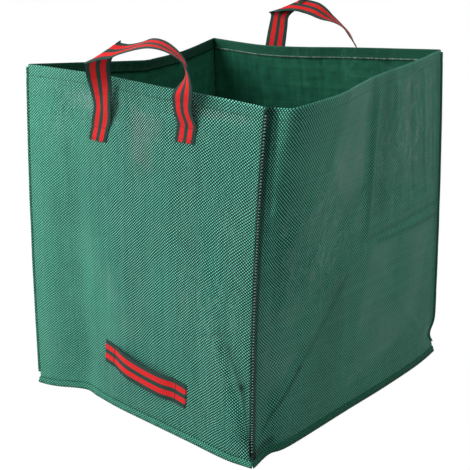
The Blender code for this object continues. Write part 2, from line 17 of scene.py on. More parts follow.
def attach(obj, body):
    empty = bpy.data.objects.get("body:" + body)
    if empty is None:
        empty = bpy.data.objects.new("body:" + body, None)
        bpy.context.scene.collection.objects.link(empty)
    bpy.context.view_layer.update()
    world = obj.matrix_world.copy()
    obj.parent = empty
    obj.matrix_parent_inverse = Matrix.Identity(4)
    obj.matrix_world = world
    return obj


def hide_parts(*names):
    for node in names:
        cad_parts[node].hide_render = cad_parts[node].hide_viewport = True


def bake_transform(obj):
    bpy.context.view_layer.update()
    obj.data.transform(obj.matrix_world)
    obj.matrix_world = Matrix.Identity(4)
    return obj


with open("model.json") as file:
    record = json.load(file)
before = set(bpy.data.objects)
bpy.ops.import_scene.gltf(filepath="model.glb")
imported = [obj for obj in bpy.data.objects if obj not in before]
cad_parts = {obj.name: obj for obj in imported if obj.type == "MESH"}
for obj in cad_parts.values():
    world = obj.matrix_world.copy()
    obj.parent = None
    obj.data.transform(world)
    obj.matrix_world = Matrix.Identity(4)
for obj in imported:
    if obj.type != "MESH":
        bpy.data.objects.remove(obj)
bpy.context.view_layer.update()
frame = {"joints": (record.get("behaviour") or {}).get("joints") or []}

# ---------------------------------------------------------------- sizes
BASE_WIDTH = 0.670
BASE_DEPTH = 0.670
HEIGHT = 0.760
HALF_WIDTH = BASE_WIDTH / 2
HALF_DEPTH = BASE_DEPTH / 2

CLOTH_THICKNESS = 0.0006
HEM_DEPTH = 0.026
HEM_FOLD_RADIUS = 0.0013
HEM_CORNER_TRIM = 0.010
CUT_EDGE_DEPTH = 0.0035
HEM_STITCH_DROP = 0.023
STITCH_DIMPLE = 0.0009
STITCH_DIMPLE_WIDTH = 0.002
SEAM_LINE_HEIGHT = 0.014
SEAM_THICKNESS = 0.0020
CORNER_SEAM_WIDTH = 0.0045
BASE_SEAM_THICKNESS = 0.0009
BASE_SEAM_SPREAD = 0.005
BASE_SEAM_FOOT = 0.0012
SEAM_EAR = 0.003
BASE_RIPPLE = 0.002
BASE_RIPPLE_REACH = 0.05

CARRY_WEBBING_WIDTH = 0.051
TIP_WEBBING_WIDTH = 0.056
WEBBING_THICKNESS = 0.0017
WEBBING_SEAT = 0.0013
CARRY_SPAN = 0.250
CARRY_RISE = 0.075
CARRY_SEWN_LENGTH = 0.036
CARRY_FOLD_HEIGHT = 0.766
CARRY_SPLIT_HEIGHT = 0.720
WEBBING_PEEL = 0.0036
WEBBING_EDGE_RADIUS = 0.0004
SLANT_LEAST = 0.6
FRAY_RADIUS = 0.00035
FRAY_LENGTHS = (0.0008, 0.0030)
TIP_SPAN = 0.262
TIP_SEWN_LENGTH = 0.036
TIP_STAND_OFF = 0.011
TIP_STITCH_INSET = 0.004

STITCH_PITCH = 0.0062
STITCH_LENGTH = 0.0046
STITCH_RADIUS = 0.00045
TIP_STITCH_RADIUS = 0.0008
OVERLOCK_PITCH = 0.0062
OVERLOCK_RADIUS = 0.0005

WALL_COLUMNS = 150
WALL_ROWS = 160
HEM_ARC_ROWS = 5
HEM_FLAP_ROWS = 6
BASE_STEPS = 60
STRAP_STEPS = 5
STRAP_FACES = 10
CURVE_STEPS = 12
BOW_POWER = 2.2

# ------------------------------------------- shapes, as the solids have them
RIM_SHARES = {
    "front": ((-0.987, -0.973, 0.999), (-0.463, -0.949, 0.996), (-0.239, -0.943, 0.994),
              (0.299, -0.979, 0.989), (0.776, -0.988, 0.984), (1.021, -1.015, 0.981)),
    "right": ((1.021, -1.015, 0.981), (1.046, -0.964, 0.979), (1.104, -0.97, 0.981),
              (1.173, -0.979, 0.985), (1.218, -0.925, 0.99), (1.233, -0.761, 0.994),
              (1.221, -0.537, 0.996), (1.164, -0.284, 0.999), (1.104, 0.0, 1.001),
              (1.075, 0.313, 1.004), (1.04, 0.651, 1.007), (0.974, 1.045, 1.011)),
    "back": ((0.974, 1.045, 1.011), (0.657, 1.021, 1.003), (0.358, 0.937, 0.999),
             (0.218, 0.91, 0.996), (-0.06, 0.824, 0.991), (-0.358, 0.8, 0.986),
             (-0.657, 0.866, 0.982), (-1.0, 0.961, 0.979)),
    "left": ((-1.0, 0.961, 0.979), (-0.866, 0.44, 0.967), (-0.742, -0.03, 0.972),
             (-0.731, -0.104, 0.973), (-0.742, -0.18, 0.975), (-0.868, -0.56, 0.986),
             (-0.987, -0.973, 0.999)),
}
FLOOR_SHARES = {
    "front": ((-0.962, -1.058), (-0.83, -1.029), (-0.621, -0.933), (-0.463, -0.958),
              (-0.23, -0.996), (0.069, -1.024), (0.448, -1.058), (0.77, -1.089),
              (0.964, -1.076)),
    "right": ((0.964, -1.076), (0.934, -0.881), (0.973, -0.716), (0.991, -0.09),
              (1.006, 0.328), (1.008, 0.746), (0.996, 0.97), (0.978, 1.128)),
    "back": ((0.978, 1.128), (0.4, 1.08), (0.0, 1.065), (-0.5, 1.06), (-1.03, 1.045)),
    "left": ((-1.03, 1.045), (-1.01, 0.5), (-1.0, 0.0), (-0.99, -0.5), (-0.962, -1.058)),
}
FACING = {"front": Vector((0, -1, 0)), "right": Vector((1, 0, 0)),
          "back": Vector((0, 1, 0)), "left": Vector((-1, 0, 0))}
WALLS = list(FACING)
COLUMN_POWER = {"front": 1.0, "right": 1.2, "back": 1.0, "left": 1.0}

# Folds: from one place to another in shares of a wall's width and height, then
# the scale of the half-width and of the depth, above zero for an outward ridge
FOLD_WIDTH = 0.020
FOLD_DEPTH = 0.006
FOLD_FADE_SHARE = 0.09
FOLD_SHARES = {
    "front": (
        ((0.6, 0.98), (0.66, 0.35), 2.0, 0.5), ((0.2, 0.0), (0.34, 0.42), 1.5, -0.7),
        ((0.99, 0.03), (0.88, 0.34), 0.7, -1.2),
    ),
    "right": (
        ((0.56, 1.0), (0.52, 0.5), 0.5, 0.9), ((0.53, 0.5), (0.97, 0.51), 0.5, -0.9),
        ((0.44, 0.95), (0.14, 0.62), 1.0, 1.0), ((0.5, 0.67), (0.4, 0.56), 0.5, -0.9),
        ((0.42, 0.5), (0.1, 0.28), 1.0, -1.0), ((0.22, 0.26), (0.06, 0.1), 0.7, -1.2),
        ((0.7, 0.92), (0.72, 0.6), 1.0, 0.6),
    ),
    "back": (((0.5, 0.98), (0.5, 0.45), 0.7, -0.6),),
    "left": (((0.5, 0.45), (0.96, 0.04), 1.0, 1.0), ((0.5, 0.45), (0.04, 0.04), 1.0, 1.0),),
}

# Finer creases that only the looks have, in the same shares
CREASE_FADE_SHARE = 0.025
CREASE_SHARES = {
    "front": (
        ((0.985, 0.03), (0.945, 0.2), 0.45, -0.7), ((0.12, 0.92), (0.16, 0.6), 0.8, 0.25),
        ((0.48, 0.72), (0.55, 0.44), 0.8, -0.22), ((0.72, 0.86), (0.8, 0.52), 0.7, 0.25),
        ((0.1, 0.42), (0.26, 0.2), 0.7, 0.22), ((0.45, 0.12), (0.52, 0.02), 0.6, 0.25),
        ((0.7, 0.3), (0.78, 0.08), 0.8, 0.25),
    ),
    "right": (
        ((0.66, 0.95), (0.68, 0.74), 0.35, 0.5), ((0.76, 0.93), (0.8, 0.58), 0.3, -0.5),
        ((0.85, 0.95), (0.89, 0.57), 0.35, 0.55), ((0.93, 0.9), (0.94, 0.6), 0.3, -0.45),
        ((0.52, 0.47), (0.3, 0.4), 0.4, 0.45), ((0.57, 0.7), (0.66, 0.6), 0.3, 0.4),
        ((0.36, 0.9), (0.22, 0.7), 0.4, -0.45), ((0.34, 0.66), (0.2, 0.48), 0.25, 0.45),
        ((0.42, 0.62), (0.3, 0.44), 0.22, 0.45), ((0.6, 0.4), (0.86, 0.12), 0.6, 0.3),
        ((0.3, 0.3), (0.5, 0.06), 0.6, -0.3), ((0.22, 0.26), (0.06, 0.1), 0.7, 0.55),
    ),
    "back": (((0.2, 0.95), (0.26, 0.6), 0.5, 0.3), ((0.74, 0.95), (0.7, 0.55), 0.5, -0.3),),
    "left": (((0.3, 0.95), (0.48, 0.55), 0.5, 0.3), ((0.72, 0.92), (0.54, 0.55), 0.5, -0.3),),
}
WAVE_LENGTH = 0.115
WAVE_DEPTH = 0.0011
CRUMPLE_LENGTH = 0.045
CRUMPLE_DEPTH = 0.0006
CRUMPLE_SEED = {"front": 3.1, "right": 11.7, "back": 23.9, "left": 37.3}

# Between these shares of a wall's width the painted glint grows from none to full: a painted highlight that
# sets the light and dark tapes further apart, where the lamps glint on the glossy tapes
GLINT_SHARES = {"front": (0.1, 0.45), "right": (0.26, 0.03), "back": (0.9, 0.3), "left": (0.9, 0.3)}

# Crumpled spots: share of the width and height, their reaches, and how crumpled; how crumpled also sets the
# painted sheen along the crumple creases
CRUMPLE_FLOOR = 0.05
CRUMPLE_SPOTS = {
    "front": ((0.3, 0.9, 0.3, 0.08, 0.35), (0.85, 0.45, 0.15, 0.25, 0.25)),
    "right": ((0.75, 0.78, 0.22, 0.2, 0.9), (0.28, 0.58, 0.16, 0.2, 0.7)),
    "back": ((0.4, 0.6, 0.3, 0.3, 0.6),),
    "left": ((0.5, 0.6, 0.3, 0.3, 0.6),),
}

# Strips beside the front right seam with painted shade, for the shadow in the groove there: first and last
# share of the width, and how much darker
SHADE_STRIPS = {"front": (0.99, 1.1, 0.75), "right": (-0.1, 0.024, 0.5)}
SHADE_BLUR = 0.004

# Lines in the same shares as folds: the scale of the half-width, and how much darker the cloth lies there,
# below zero for lighter. This is painted shade in fold hollows and on the left wall's hem band, and painted
# highlights where lighter, as along the rim. The floor is painted shade over a whole wall that the lamps
# light less
SHADE_FLOOR = {"front": 0.0, "right": 0.21, "back": 0.1, "left": 0.1}
SHADE_LINES = {
    "front": (
        ((0.99, 0.02), (0.96, 0.22), 0.4, 0.55), ((0.96, 0.22), (0.905, 0.32), 0.6, 0.35),
        ((0.905, 0.32), (0.86, 0.42), 0.9, 0.15), ((0.62, 0.93), (0.96, 0.95), 0.5, -0.15),
        ((0.78, 1.0), (1.0, 1.0), 0.12, -0.6),
    ),
    "right": (
        ((0.045, 0.98), (0.06, 0.72), 0.45, -0.6), ((0.06, 0.72), (0.07, 0.4), 0.6, -0.15),
        ((0.525, 0.99), (0.53, 0.52), 0.45, 0.18), ((0.62, 0.98), (0.6, 0.6), 1.6, 0.14),
        ((0.6, 0.485), (0.97, 0.475), 0.22, 0.22), ((0.065, 0.06), (0.215, 0.21), 0.25, 0.35),
        ((0.215, 0.21), (0.43, 0.42), 0.4, 0.15), ((0.02, 0.01), (0.1, 0.02), 0.5, 0.45),
        ((0.3, 0.08), (0.38, 0.4), 3.0, 0.14), ((0.975, 0.95), (0.985, 0.1), 0.6, 0.18),
        ((0.02, 1.0), (1.0, 1.0), 0.12, -0.25),
    ),
    "left": (((0.0, 0.985), (1.0, 0.985), 1.2, 0.35),),
}

# Facets with a painted sheen, lighter and greyer where the folded film faces the lamps or mirrors the white
# studio: the corners, in shares of a wall's width and height and counter-clockwise, and how hazy, that is
# how strong the painted sheen is, there. The floor is a painted sheen over the whole wall
PAINTED_SHEEN_FLOOR = {"front": 0.08, "right": 0.0, "back": 0.02, "left": 0.02}
PAINTED_SHEEN_BLUR = 0.024
PAINTED_SHEEN_FACETS = {
    "front": (
        (((0.62, 0.93), (0.94, 0.94), (0.97, 0.972), (0.62, 0.975)), 0.6),
        (((0.14, 0.9), (0.4, 0.86), (0.44, 0.95), (0.16, 0.96)), 0.25),
        (((0.46, 0.78), (0.56, 0.74), (0.62, 0.92), (0.45, 0.94)), 0.25),
        (((0.3, 0.36), (0.44, 0.2), (0.5, 0.24), (0.34, 0.46)), 0.16),
    ),
    "right": (
        (((0.4, 0.62), (0.5, 0.52), (0.5, 1.01), (0.335, 1.01), (0.265, 0.8)), 0.42),
        (((0.19, 0.6), (0.3, 0.5), (0.46, 0.7), (0.3, 0.86)), 0.2),
        (((0.62, 0.66), (0.96, 0.56), (0.95, 0.95), (0.67, 0.99)), 0.2),
        (((0.68, 0.72), (0.8, 0.74), (0.76, 0.97), (0.7, 0.97)), 0.18),
        (((0.44, 0.04), (0.86, 0.14), (0.95, 0.475), (0.56, 0.49)), 0.26),
        (((0.035, 0.08), (0.21, 0.25), (0.19, 0.42), (0.035, 0.45)), 0.3),
    ),
}

PINCH_DEPTHS = {"front": 0, "right": 0.011, "back": 0.011, "left": 0.011}
PINCH_HEIGHT = 0.050
PINCH_REACH = 0.026
PINCH_SPREAD = 0.045

CARRY_SHARES = {
    "front": {
        "middle": 0.037,
        "ends": ((-0.556, -0.508, 0.809), (0.502, 0.524, 0.858)),
        "strap": (
            (-0.474, -1.3, 0.12, 0, 3), (-0.436, -0.93, 0.25, -4, 4),
            (-0.417, -0.39, 0.43, 19, 1), (-0.408, -0.01, 0.55, 42, 0),
            (-0.377, 0.31, 0.69, 45, 5), (-0.31, 0.64, 0.64, 48, 32),
            (-0.195, 0.69, 0.48, 92, 29), (-0.12, 0.745, 0.4, 98, 18),
            (0.0, 0.85, 0.36, 93, 16), (0.13, 0.975, 0.31, 92, 18),
            (0.25, 0.99, 0.26, 90, 9), (0.37, 0.89, 0.22, 91, -6),
            (0.47, 0.73, 0.23, 98, -19), (0.54, 0.56, 0.29, 114, -27),
            (0.575, 0.33, 0.36, 138, -26), (0.578, 0.09, 0.44, 158, -11),
            (0.552, -0.17, 0.46, 174, -6), (0.52, -0.45, 0.32, 175, -6),
            (0.512, -0.72, 0.2, 176, -5),
        ),
    },
    "back": {
        "middle": 0.0,
        "ends": ((-0.5, -0.495, 0.829), (0.49, 0.488, 0.836)),
        "strap": (
            (-0.48, -1.0, 0.14, -4, 0), (-0.45, -0.62, 0.26, 11, 0),
            (-0.43, -0.21, 0.36, 20, 0), (-0.418, 0.39, 0.5, 10, 0),
            (-0.398, 0.8, 0.58, 2, 4), (-0.3, 1.12, 0.64, 40, 23),
            (-0.21, 1.12, 0.74, 92, 27), (-0.13, 1.08, 0.79, 95, 29),
            (-0.04, 1.01, 0.79, 92, 28), (0.03, 0.89, 0.76, 92, 20),
            (0.09, 0.77, 0.73, 98, 9), (0.16, 0.66, 0.68, 102, -4),
            (0.23, 0.53, 0.63, 107, -12), (0.28, 0.41, 0.6, 113, -12),
            (0.32, 0.24, 0.6, 116, -8), (0.36, 0.03, 0.61, 118, -12),
            (0.395, -0.15, 0.6, 122, -8), (0.435, -0.5, 0.42, 150, -5),
            (0.465, -0.82, 0.22, 176, 0), (0.48, -1.1, 0.09, 190, 0),
        ),
    },
}
SEWN_SHARES = (0, 0.25, 0.5, 0.75, 1)
TIP_MIDDLE_SHARE = 0.030
TIP_SHARES = (
    (-0.5, 0.17, 0.02), (-0.366, 0.165, 0.02), (-0.28, 0.163, 0.6), (-0.195, 0.16, 1),
    (-0.076, 0.152, 1), (0.046, 0.147, 0.95), (0.206, 0.143, 0.85), (0.29, 0.141, 0.5),
    (0.359, 0.139, 0), (0.5, 0.134, 0),
)


# ---------------------------------------------------------------- materials
# Widths of the real tapes, warp and weft, how far they wander from straight,
# the pitches of the webbing's ribs and yarns, and how deep each relief is
TAPE_WIDTHS = (0.0038, 0.0032)
WEAVE_DRIFT = 0.009
RIB_PITCH = 0.0017
WARP_PITCH = 0.0013
CREASE_RELIEF = 0.020
TAPE_RELIEF = 0.0011
FILM_RELIEF = 0.0004
RIB_RELIEF = 0.0003

# How many patches of each cloudy pattern there are to a metre, or along each axis
DRIFT_SCALE = 13.0
CREASE_SCALE = (27.0, 27.0, 10.0)
FADE_SCALE = 9.0
STREAK_SCALES = ((60.0, 4.0, 1.0), (5.0, 90.0, 1.0), (38.0, 30.0, 1.0))
SPLIT_SCALE = (420.0, 60.0, 1.0)
FUZZ_SCALE = 900.0
PLY_SCALE = 1400.0


def linear(hex_colour):
    """Linear values of an sRGB hex colour."""
    channels = [int(hex_colour[i:i + 2], 16) / 255 for i in (1, 3, 5)]
    return (*[c / 12.92 if c <= 0.04045 else ((c + 0.055) / 1.055) ** 2.4 for c in channels], 1.0)


def add_node(owner, kind, inputs=(), output=0, stops=(), **settings):
    """Adds a node with its settings and gives one of its outputs. Its inputs, in
    a row or by name, are values or the outputs that are linked to them. The stops
    of a colour ramp are places and colours."""
    tree = owner.node_tree
    node = tree.nodes.new("ShaderNode" + kind)
    for name, value in settings.items():
        setattr(node, name, value)
    for socket, value in inputs.items() if isinstance(inputs, dict) else enumerate(inputs):
        if isinstance(value, bpy.types.NodeSocket):
            tree.links.new(value, node.inputs[socket])
        else:
            node.inputs[socket].default_value = value
    for place, _ in stops[1:-1]:
        node.color_ramp.elements.new(place)
    for index, (place, colour) in enumerate(stops):
        element = node.color_ramp.elements[index]
        element.position, element.color = place, linear(colour)
    return node.outputs[output]


def new_material(name, roughness, specular=0.5, sheen=0.0):
    """A material, and what adds a node to it."""
    material = bpy.data.materials.new(name)
    material.use_nodes = True
    sockets = material.node_tree.nodes["Principled BSDF"].inputs
    sockets["Roughness"].default_value = roughness
    sockets["Specular IOR Level"].default_value = specular
    sockets["Sheen Weight"].default_value = sheen
    return material, partial(add_node, material)


def finish_material(material, colour, value=None, bump=None):
    """Links the shader's colour, times a value where there is one, and its bump."""
    sockets = material.node_tree.nodes["Principled BSDF"].inputs
    if value is not None:
        grey = add_node(material, "CombineColor", (value, value, value))
        colour = add_node(material, "Mix", {0: 1.0, 6: colour, 7: grey}, 2,
                          data_type="RGBA", blend_type="MULTIPLY")
    material.node_tree.links.new(colour, sockets["Base Color"])
    if bump is not None:
        material.node_tree.links.new(bump, sockets["Normal"])
    return material


def crumple_creases(add, place):
    """Small sharp creases of a stiff sheet, higher than wide: zero on a crease."""
    stretched = add("Mapping", {"Vector": place, "Scale": CREASE_SCALE})
    cloud = add("TexNoise", {"Vector": stretched, "Scale": 1.0, "Detail": 3.0, "Distortion": 1.2})
    level = add("Math", (cloud, 0.5), operation="SUBTRACT")
    return add("Math", (level,), operation="ABSOLUTE")


def raised(add, creases, amount, height, relief, strength=1.0):
    """Bump of a fine pattern on top of the bump of the crumple creases."""
    crease = add("Math", (creases, amount), operation="MULTIPLY")
    under = add("Bump", {"Strength": 1.0, "Distance": CREASE_RELIEF, "Height": crease})
    return add("Bump", {"Strength": strength, "Distance": relief, "Height": height, "Normal": under})


def woven_sheet_material(name, dull, glint_colours=None):
    """Polypropylene tape woven plain: glossy flat tapes of two shades over and
    under one another, rounded, each one a little lighter or darker than the
    next. Each tape's colour peaks at its crown, a painted highlight. Where the
    painted glint is strong, the two shades stand further apart, and the painted
    sheen whitens the light tapes only; elsewhere it veils both as a painted
    reflection of the white studio, more so along the crumple creases. Painted
    shade darkens the sheet beside a seam and in fold hollows, and painted
    highlights lighten it in places. The colours are those of the light tapes, of
    the dark ones and of the gaps between them."""
    material, add = new_material(name, 0.5, 0.05)
    painted_glint, crumple, shade, painted_sheen = (
        add("Attribute", output="Fac", attribute_name=word)
        for word in ("painted_glint", "crumple", "shade", "painted_sheen")
    )
    cloth = add("UVMap", uv_map="cloth")
    drift = add("TexNoise", {"Vector": cloth, "Scale": DRIFT_SCALE, "Detail": 1.0}, "Color")
    moved = add("VectorMath", (drift, (WEAVE_DRIFT,) * 3, cloth), operation="MULTIPLY_ADD")
    parts = add("SeparateXYZ", (moved,)).node.outputs
    places = [add("Math", pair, operation="DIVIDE") for pair in zip(parts, TAPE_WIDTHS)]
    checker = add("TexChecker", {"Vector": add("CombineXYZ", places), "Scale": 1.0}, "Fac")
    humps, tones = [], []
    for place, salt in zip(places, (0.37, 0.61)):
        turn = add("Math", (place, math.pi), operation="MULTIPLY")
        wave = add("Math", (turn,), operation="SINE")
        humps.append(add("Math", (wave,), operation="ABSOLUTE"))
        tape = add("Math", (place,), operation="FLOOR")
        tape = add("Math", (tape, salt), operation="ADD")
        tones.append(add("TexWhiteNoise", {"W": tape}, noise_dimensions="1D"))
    hump, tone = (add("Mix", {0: checker, 2: first, 3: second}, data_type="FLOAT")
                  for first, second in (humps, tones))
    light, dark, gap = (add("Mix", {0: painted_glint, 6: linear(low), 7: linear(high)}, 2, data_type="RGBA")
                        for low, high in zip(dull, glint_colours or dull))
    # Painted sheen: with the painted glint it whitens the light tapes, a painted highlight; without it, it
    # veils both tapes, a painted reflection
    glint_sheen = add("Math", (painted_sheen, painted_glint), operation="MULTIPLY")
    film = add("Math", (painted_sheen, glint_sheen), operation="SUBTRACT")
    light = add("Mix", {0: glint_sheen, 6: light, 7: linear("#EEF8F4")}, 2, data_type="RGBA")
    tapes = add("Mix", {0: checker, 6: light, 7: dark}, 2, data_type="RGBA")
    # Each tape's colour peaks at its crown and falls to the gaps' colour at its edges: a painted highlight
    # on the crowns
    spot = add("Math", humps, operation="MULTIPLY")
    spot = add("Math", (spot, 0.85), operation="POWER")
    tapes = add("Mix", {0: spot, 6: gap, 7: tapes}, 2, data_type="RGBA")
    solid_place = add("TexCoord", output="Object")
    creases = crumple_creases(add, solid_place)
    # Painted sheen along the crumple creases as well, in the grey-white sheen colour
    lines = add("Math", (creases, -24.0, 0.9), operation="MULTIPLY_ADD")
    lines = add("Math", (lines, 0.0), operation="MAXIMUM")
    sheen_veil = add("Math", (lines, crumple, film), operation="MULTIPLY_ADD")
    tapes = add("Mix", {0: sheen_veil, 6: tapes, 7: linear("#86B6A8")}, 2, data_type="RGBA")
    fade = add("TexNoise", {"Vector": solid_place, "Scale": FADE_SCALE, "Detail": 3.0, "Roughness": 0.6})
    value = add("Math", (tone, 0.16, 0.77), operation="MULTIPLY_ADD")
    value = add("Math", (fade, 0.30, value), operation="MULTIPLY_ADD")
    # Painted shade: darker where the shade mark is above zero, lighter, a painted highlight, where it is
    # below zero
    lit = add("Math", (1.0, shade), operation="SUBTRACT")
    value = add("Math", (value, lit), operation="MULTIPLY")
    rounded = add("Math", (hump, 0.5), operation="POWER")
    return finish_material(material, tapes, value, raised(add, creases, crumple, rounded, TAPE_RELIEF))


def coated_sheet_material():
    """The inside of the sheet has a film melted on to it: smooth, dark, with the
    tapes showing through as a faint grid and a few long streaks."""
    material, add = new_material("coated_polypropylene_inside", 0.42)
    cloth = add("UVMap", uv_map="cloth")
    streak = 0.0
    for scale in STREAK_SCALES:
        place = add("Mapping", {"Vector": cloth, "Scale": scale})
        cloud = add("TexNoise", {"Vector": place, "Scale": 1.0, "Detail": 2.0})
        streak = add("Math", (cloud, streak), operation="ADD")
    share = add("Math", (streak, 3.0), operation="DIVIDE")
    ramp = add("ValToRGB", (share,), stops=((0.38, "#1C5945"), (0.62, "#2C775D")))
    creases = crumple_creases(add, add("TexCoord", output="Object"))
    return finish_material(material, ramp, bump=raised(add, creases, 0.15, streak, FILM_RELIEF, 0.3))


def cut_edge_material():
    """Hot-cut ends of the tapes: whitened, split and uneven."""
    material, add = new_material("cut_polypropylene_edge", 0.6)
    place = add("Mapping", {"Vector": add("UVMap", uv_map="cloth"), "Scale": SPLIT_SCALE})
    split = add("TexNoise", {"Vector": place, "Scale": 1.0, "Detail": 3.0})
    return finish_material(
        material, add("ValToRGB", (split,), stops=((0.42, "#3F6B5B"), (0.64, "#BDD3C7"))))


def webbing_material():
    """Polypropylene webbing: five stripes of dyed yarn under fine cross ribs,
    matt, with a little fuzz that catches the light, painted into the colour,
    and painted light and shade on the ribs' tops and hollows."""
    material, add = new_material("striped_polypropylene_webbing", 0.72, 0.2, 0.03)
    cloth = add("UVMap", uv_map="cloth")
    across, along = add("SeparateXYZ", (cloth,)).node.outputs[:2]
    dark, red = "#234039", "#EA2226"
    stripes = add("ValToRGB", (across,),
                  stops=((0.0, dark), (0.18, red), (0.41, dark), (0.59, red), (0.82, dark)))
    stripes.node.color_ramp.interpolation = "CONSTANT"
    waves = []
    for place, turns in ((along, 1 / RIB_PITCH), (across, CARRY_WEBBING_WIDTH / WARP_PITCH)):
        turn = add("Math", (place, 2 * math.pi * turns), operation="MULTIPLY")
        waves.append(add("Math", (turn,), operation="SINE"))
    height = add("Math", (waves[1], 0.6, waves[0]), operation="MULTIPLY_ADD")
    fuzz = add("TexNoise", {"Vector": cloth, "Scale": FUZZ_SCALE, "Detail": 2.0})
    value = add("Math", (fuzz, 0.3, 0.82), operation="MULTIPLY_ADD")
    value = add("Math", (height, 0.07, value), operation="MULTIPLY_ADD")
    bump = add("Bump", {"Strength": 0.5, "Distance": RIB_RELIEF, "Height": height})
    return finish_material(material, stripes, value, bump)


def thread_material(name, colour):
    """Polyester sewing thread: two plies, slightly shiny."""
    material, add = new_material(name, 0.5)
    place = add("TexCoord", output="Object")
    ply = add("TexNoise", {"Vector": place, "Scale": PLY_SCALE, "Detail": 1.0})
    value = add("Math", (ply, 0.6, 0.7), operation="MULTIPLY_ADD")
    return finish_material(material, linear(colour), value)


def seen_rays(add):
    """One for the rays that see the white set itself, zero for its light."""
    rays = add("LightPath").node.outputs
    clear = add("Math", (rays["Is Glossy Ray"], rays["Is Transmission Ray"]), operation="MAXIMUM")
    return add("Math", (rays["Is Camera Ray"], clear), operation="MAXIMUM")


def floor_material():
    """Matt white studio floor. The camera sees it near white, with its shadow."""
    material, add = new_material("white_studio_floor", 0.9, 0.0)
    nodes = material.node_tree.nodes
    shader = nodes["Principled BSDF"]
    shader.inputs["Base Color"].default_value = linear("#DADADA")
    glow = add("Emission", {"Color": linear("#FFFFFF"), "Strength": 1.05})
    seen = add("Math", (seen_rays(add), 0.94), operation="MULTIPLY")
    mixed = add("MixShader", (seen, shader.outputs[0], glow))
    material.node_tree.links.new(mixed, nodes["Material Output"].inputs["Surface"])
    return material


# The outside's colours are those of its dull parts, then of its parts with the painted glint, a painted
# highlight
OUTSIDE = woven_sheet_material("woven_polypropylene_outside",
                               ("#80E4C0", "#0A3024", "#459380"), ("#88FFE0", "#010A07", "#0E3429"))
# A darker copy of the woven cloth for the front right seam: painted shade on the seam strip, which stands
# edge-on in shadow
SHADED_SEAM_CLOTH = woven_sheet_material("woven_polypropylene_seam_painted_shade", ("#1E5444", "#020E0A", "#06201A"))
# A darker copy of the woven cloth: painted shade on the hem flap inside the bag, on the left wall's hem
# edge and on seams that face away from the lamps
SHADED_HEM_CLOTH = woven_sheet_material("woven_polypropylene_hem_painted_shade", ("#3B8869", "#184A3A", "#265F4C"))
# A darker copy of the outside's cloth for the front base seam: painted shade that evens out its top, which
# faces the lamps
SHADED_FRONT_SEAM_CLOTH = woven_sheet_material("woven_polypropylene_front_seam_painted_shade",
                                        ("#76D3B2", "#092C21", "#3F8876"))
INSIDE = coated_sheet_material()
CUT_EDGE = cut_edge_material()
WEBBING = webbing_material()
HEM_THREAD = thread_material("green_sewing_thread", "#2A5243")
SEAM_THREAD = thread_material("pale_overlock_yarn", "#C2DAD0")
DARK_THREAD = thread_material("dark_sewing_thread", "#16241F")


# ---------------------------------------------------------------- shapes
def smooth_points(points, steps):
    """Points of a Catmull-Rom curve through the given places."""
    places = np.array(points, float)
    padded = np.vstack((2 * places[0] - places[1], places, 2 * places[-1] - places[-2]))
    curve = []
    for index in range(len(places) - 1):
        a, b, c, d = padded[index:index + 4]
        for t in np.arange(steps) / steps:
            bend = (2 * a - 5 * b + 4 * c - d) * t ** 2 + (3 * b - 3 * c + d - a) * t ** 3
            curve.append((2 * b + (c - a) * t + bend) / 2)
    curve.append(places[-1])
    return np.array(curve)


def run_lengths(line):
    """Distances along a line of places from its start to each of them."""
    return np.concatenate(((0,), np.cumsum(np.linalg.norm(np.diff(line, axis=0), axis=1))))


def along_line(where, lengths, line):
    """Places at distances along a line of places, with its run lengths."""
    return np.stack([np.interp(where, lengths, axis) for axis in line.T], axis=-1)


def unit(vectors):
    return vectors / np.linalg.norm(vectors, axis=-1, keepdims=True)


def between(first, second, share):
    return first * (1 - share) + second * share


class Path:
    """A smooth path whose places are read by their share of its length."""

    def __init__(self, points):
        self.points = smooth_points(points, CURVE_STEPS)
        lengths = run_lengths(self.points)
        self.length = float(lengths[-1])
        self.shares = lengths / self.length

    def at(self, share):
        return along_line(share, self.shares, self.points)


PATHS = {
    wall: (
        Path([(x * HALF_WIDTH, y * HALF_DEPTH, SEAM_LINE_HEIGHT) for x, y in FLOOR_SHARES[wall]]),
        Path([(x * HALF_WIDTH, y * HALF_DEPTH, z * HEIGHT) for x, y, z in RIM_SHARES[wall]]),
    )
    for wall in WALLS
}
noise_at = np.vectorize(lambda x, y, z: noise.noise(Vector((x, y, z))))


def edge_fade(u, v, reach):
    return np.prod([np.clip(edge / reach, 0, 1) for edge in (u, 1 - u, v, 1 - v)], axis=0)


def line_sum(lines, u, v):
    """Sum of the soft lines of a table at places on a wall."""
    here = np.stack((u * BASE_WIDTH, v * HEIGHT), axis=-1)
    total = np.zeros(np.shape(u))
    for start, end, width, amount in lines:
        first = np.array(start) * (BASE_WIDTH, HEIGHT)
        run = np.array(end) * (BASE_WIDTH, HEIGHT) - first
        along = np.clip((here - first) @ run / (run @ run), 0, 1)
        distance = np.linalg.norm(here - first - along[..., None] * run, axis=-1)
        total += amount * np.exp(-(distance / (width * FOLD_WIDTH)) ** 2)
    return total


def facet_sum(facets, u, v):
    """Sum of the flat facets of a table at places on a wall, with soft edges."""
    total = np.zeros(np.shape(u))
    for corners, amount in facets:
        inside = np.ones(np.shape(u))
        for (x, y), (next_x, next_y) in zip(corners, (*corners[1:], corners[0])):
            run = np.array((next_x - x, next_y - y))
            distance = (run[0] * (v - y) - run[1] * (u - x)) / np.linalg.norm(run)
            inside = np.minimum(inside, np.clip(distance / PAINTED_SHEEN_BLUR, 0, 1))
        total += amount * inside
    return total


def fold_offset(wall, u, v):
    """How far folds and creases push a wall outwards."""
    folds = line_sum(FOLD_SHARES[wall], u, v) * edge_fade(u, v, FOLD_FADE_SHARE)
    creases = line_sum(CREASE_SHARES[wall], u, v) * edge_fade(u, v, CREASE_FADE_SHARE)
    return (folds + creases) * FOLD_DEPTH


